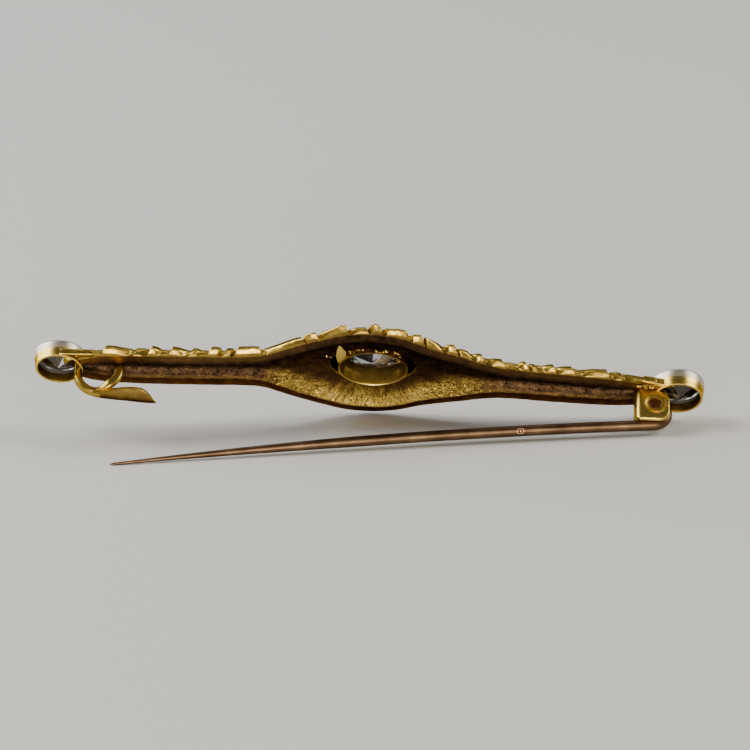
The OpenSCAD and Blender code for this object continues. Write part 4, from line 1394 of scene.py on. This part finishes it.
a = np.radians(np.linspace(38, 132, 24))
over_collet = [np.stack([(CENTRE_RX + out) * np.cos(a), (CENTRE_RV + out) * np.sin(a),
                         at_b + 0.12 * np.sin(5 * a)], 1) for out, at_b in ((0.02, -0.74), (0.16, -1.04))]
beside_slot = seam(-4.6, -4.1, 4, ((0.95, -1.02), (1.35, -1.02)))
loop_foot = seam(-28.9, -26.9, 10, ((0.40, 0.52), (1.00, 0.52)))
joint_foot = seam(25.7, 28.1, 12, ((1.30, 1.02), (1.60, 1.02)))
collet_foot = seam(26.9, 28.1, 6, ((2.18, 0.72), (2.18, 1.22)))
seam_points, seam_faces = [], []
for strip in (over_collet, beside_slot, loop_foot, joint_foot, collet_foot):
    first, count = len(seam_points), len(strip[0])
    seam_points += [tuple(p) for row in strip for p in row]
    seam_faces += [(first + i, first + i + 1, first + count + i + 1, first + count + i)
                   for i in range(count - 1)]
seams = bpy.data.meshes.new("seams")
seams.from_pydata(place(seam_points).tolist(), [], seam_faces)
grains = grow("solder_grains", seams, strew, {
    "Density": 1.2e7, "Smallest": 0.00005, "Largest": 0.00014, "Seed": 4, "Metal": gold})
piece("solder_grains", finish_mesh(grains), gold)

# %% [markdown]
# ## A plain punch on the pin
#
# Makers' and assay marks are struck on pins. This one names nobody: it is a small rounded field with a
# raised edge and a dot. The sunk field is painted dark as shade, and the raised edge and dot are light,
# rubbed and painted as a highlight, because they stand up a little from the wire.

# %% Rose gold with painted relief
struck, tree = new_material("rose_gold_with_painted_relief")
sunk = node(tree, "ShaderNodeAttribute", {"attribute_name": "film"})
struck_tone = node(tree, "ShaderNodeMix", {"data_type": "RGBA"}, {
    0: sunk.outputs["Fac"], 6: linear("#D9A482"), 7: linear("#3A2517")})
struck_shader = node(tree, "ShaderNodeBsdfPrincipled", inputs={
    "Base Color": struck_tone.outputs[2], "Metallic": 1.0, "Roughness": 0.32})
node(tree, "ShaderNodeOutputMaterial", inputs={"Surface": struck_shader.outputs[0]})

# %% [markdown]
# ### Striking it
#
# The mark is wrapped round the wire: its rows run along the pin, and across each row the places are
# angles. The height at each place, edge, field or dot, is added to the wire's radius.

# %% The punch
MARK_X, MARK_LONG, MARK_WIDE, DOT_R = 14.45, 0.34, 0.5, 0.10
FIELD_H, EDGE_H, DOT_H, MARK_DEPTH = 0.012, 0.030, 0.026, 0.08
MARK_FACES = math.atan2(0.583, 0.812)
way_x, way_b = np.array([swing(*p) for p in path]).T
mark_b = float(np.interp(MARK_X, way_x[::-1], way_b[::-1]))
slope = float(np.interp(MARK_X + 1, way_x[::-1], way_b[::-1])) - mark_b
q = np.linspace(-1, 1, 31)
mark_rings, mark_film = [], []
for u in np.linspace(-1, 1, 41):
    reach = MARK_WIDE * (1 - min(abs(u), 0.995) ** 4) ** 0.25
    edge_of = np.maximum(np.abs(u), np.abs(q))
    raised_edge = EDGE_H * step(edge_of, 0.68, 0.76) * (1 - step(edge_of, 0.92, 1.0))
    dot = DOT_H * (1 - step(np.hypot(u * MARK_LONG, q * reach * PIN_R) / DOT_R, 0.6, 1.1))
    height = FIELD_H + raised_edge + dot
    around = MARK_FACES + reach * q
    x0, axis_b = MARK_X + u * MARK_LONG, mark_b + slope * u * MARK_LONG
    shell = [np.stack([x0 + 0 * turns, r0 * np.cos(turns), axis_b + r0 * np.sin(turns)], 1)
             for r0, turns in ((PIN_R + height, around), (PIN_R - MARK_DEPTH + 0 * height, around[::-1]))]
    mark_rings.append(np.concatenate(shell))
    # painted shade in the sunk field, painted highlight on the edge and dot
    in_field = 1 - np.clip((height - FIELD_H) / 0.02, 0, 1)
    mark_film.append(np.concatenate([in_field, in_field[::-1]]))
piece("punch_mark", skin("punch", mark_rings, 40, {"film": mark_film}), struck, "pin")
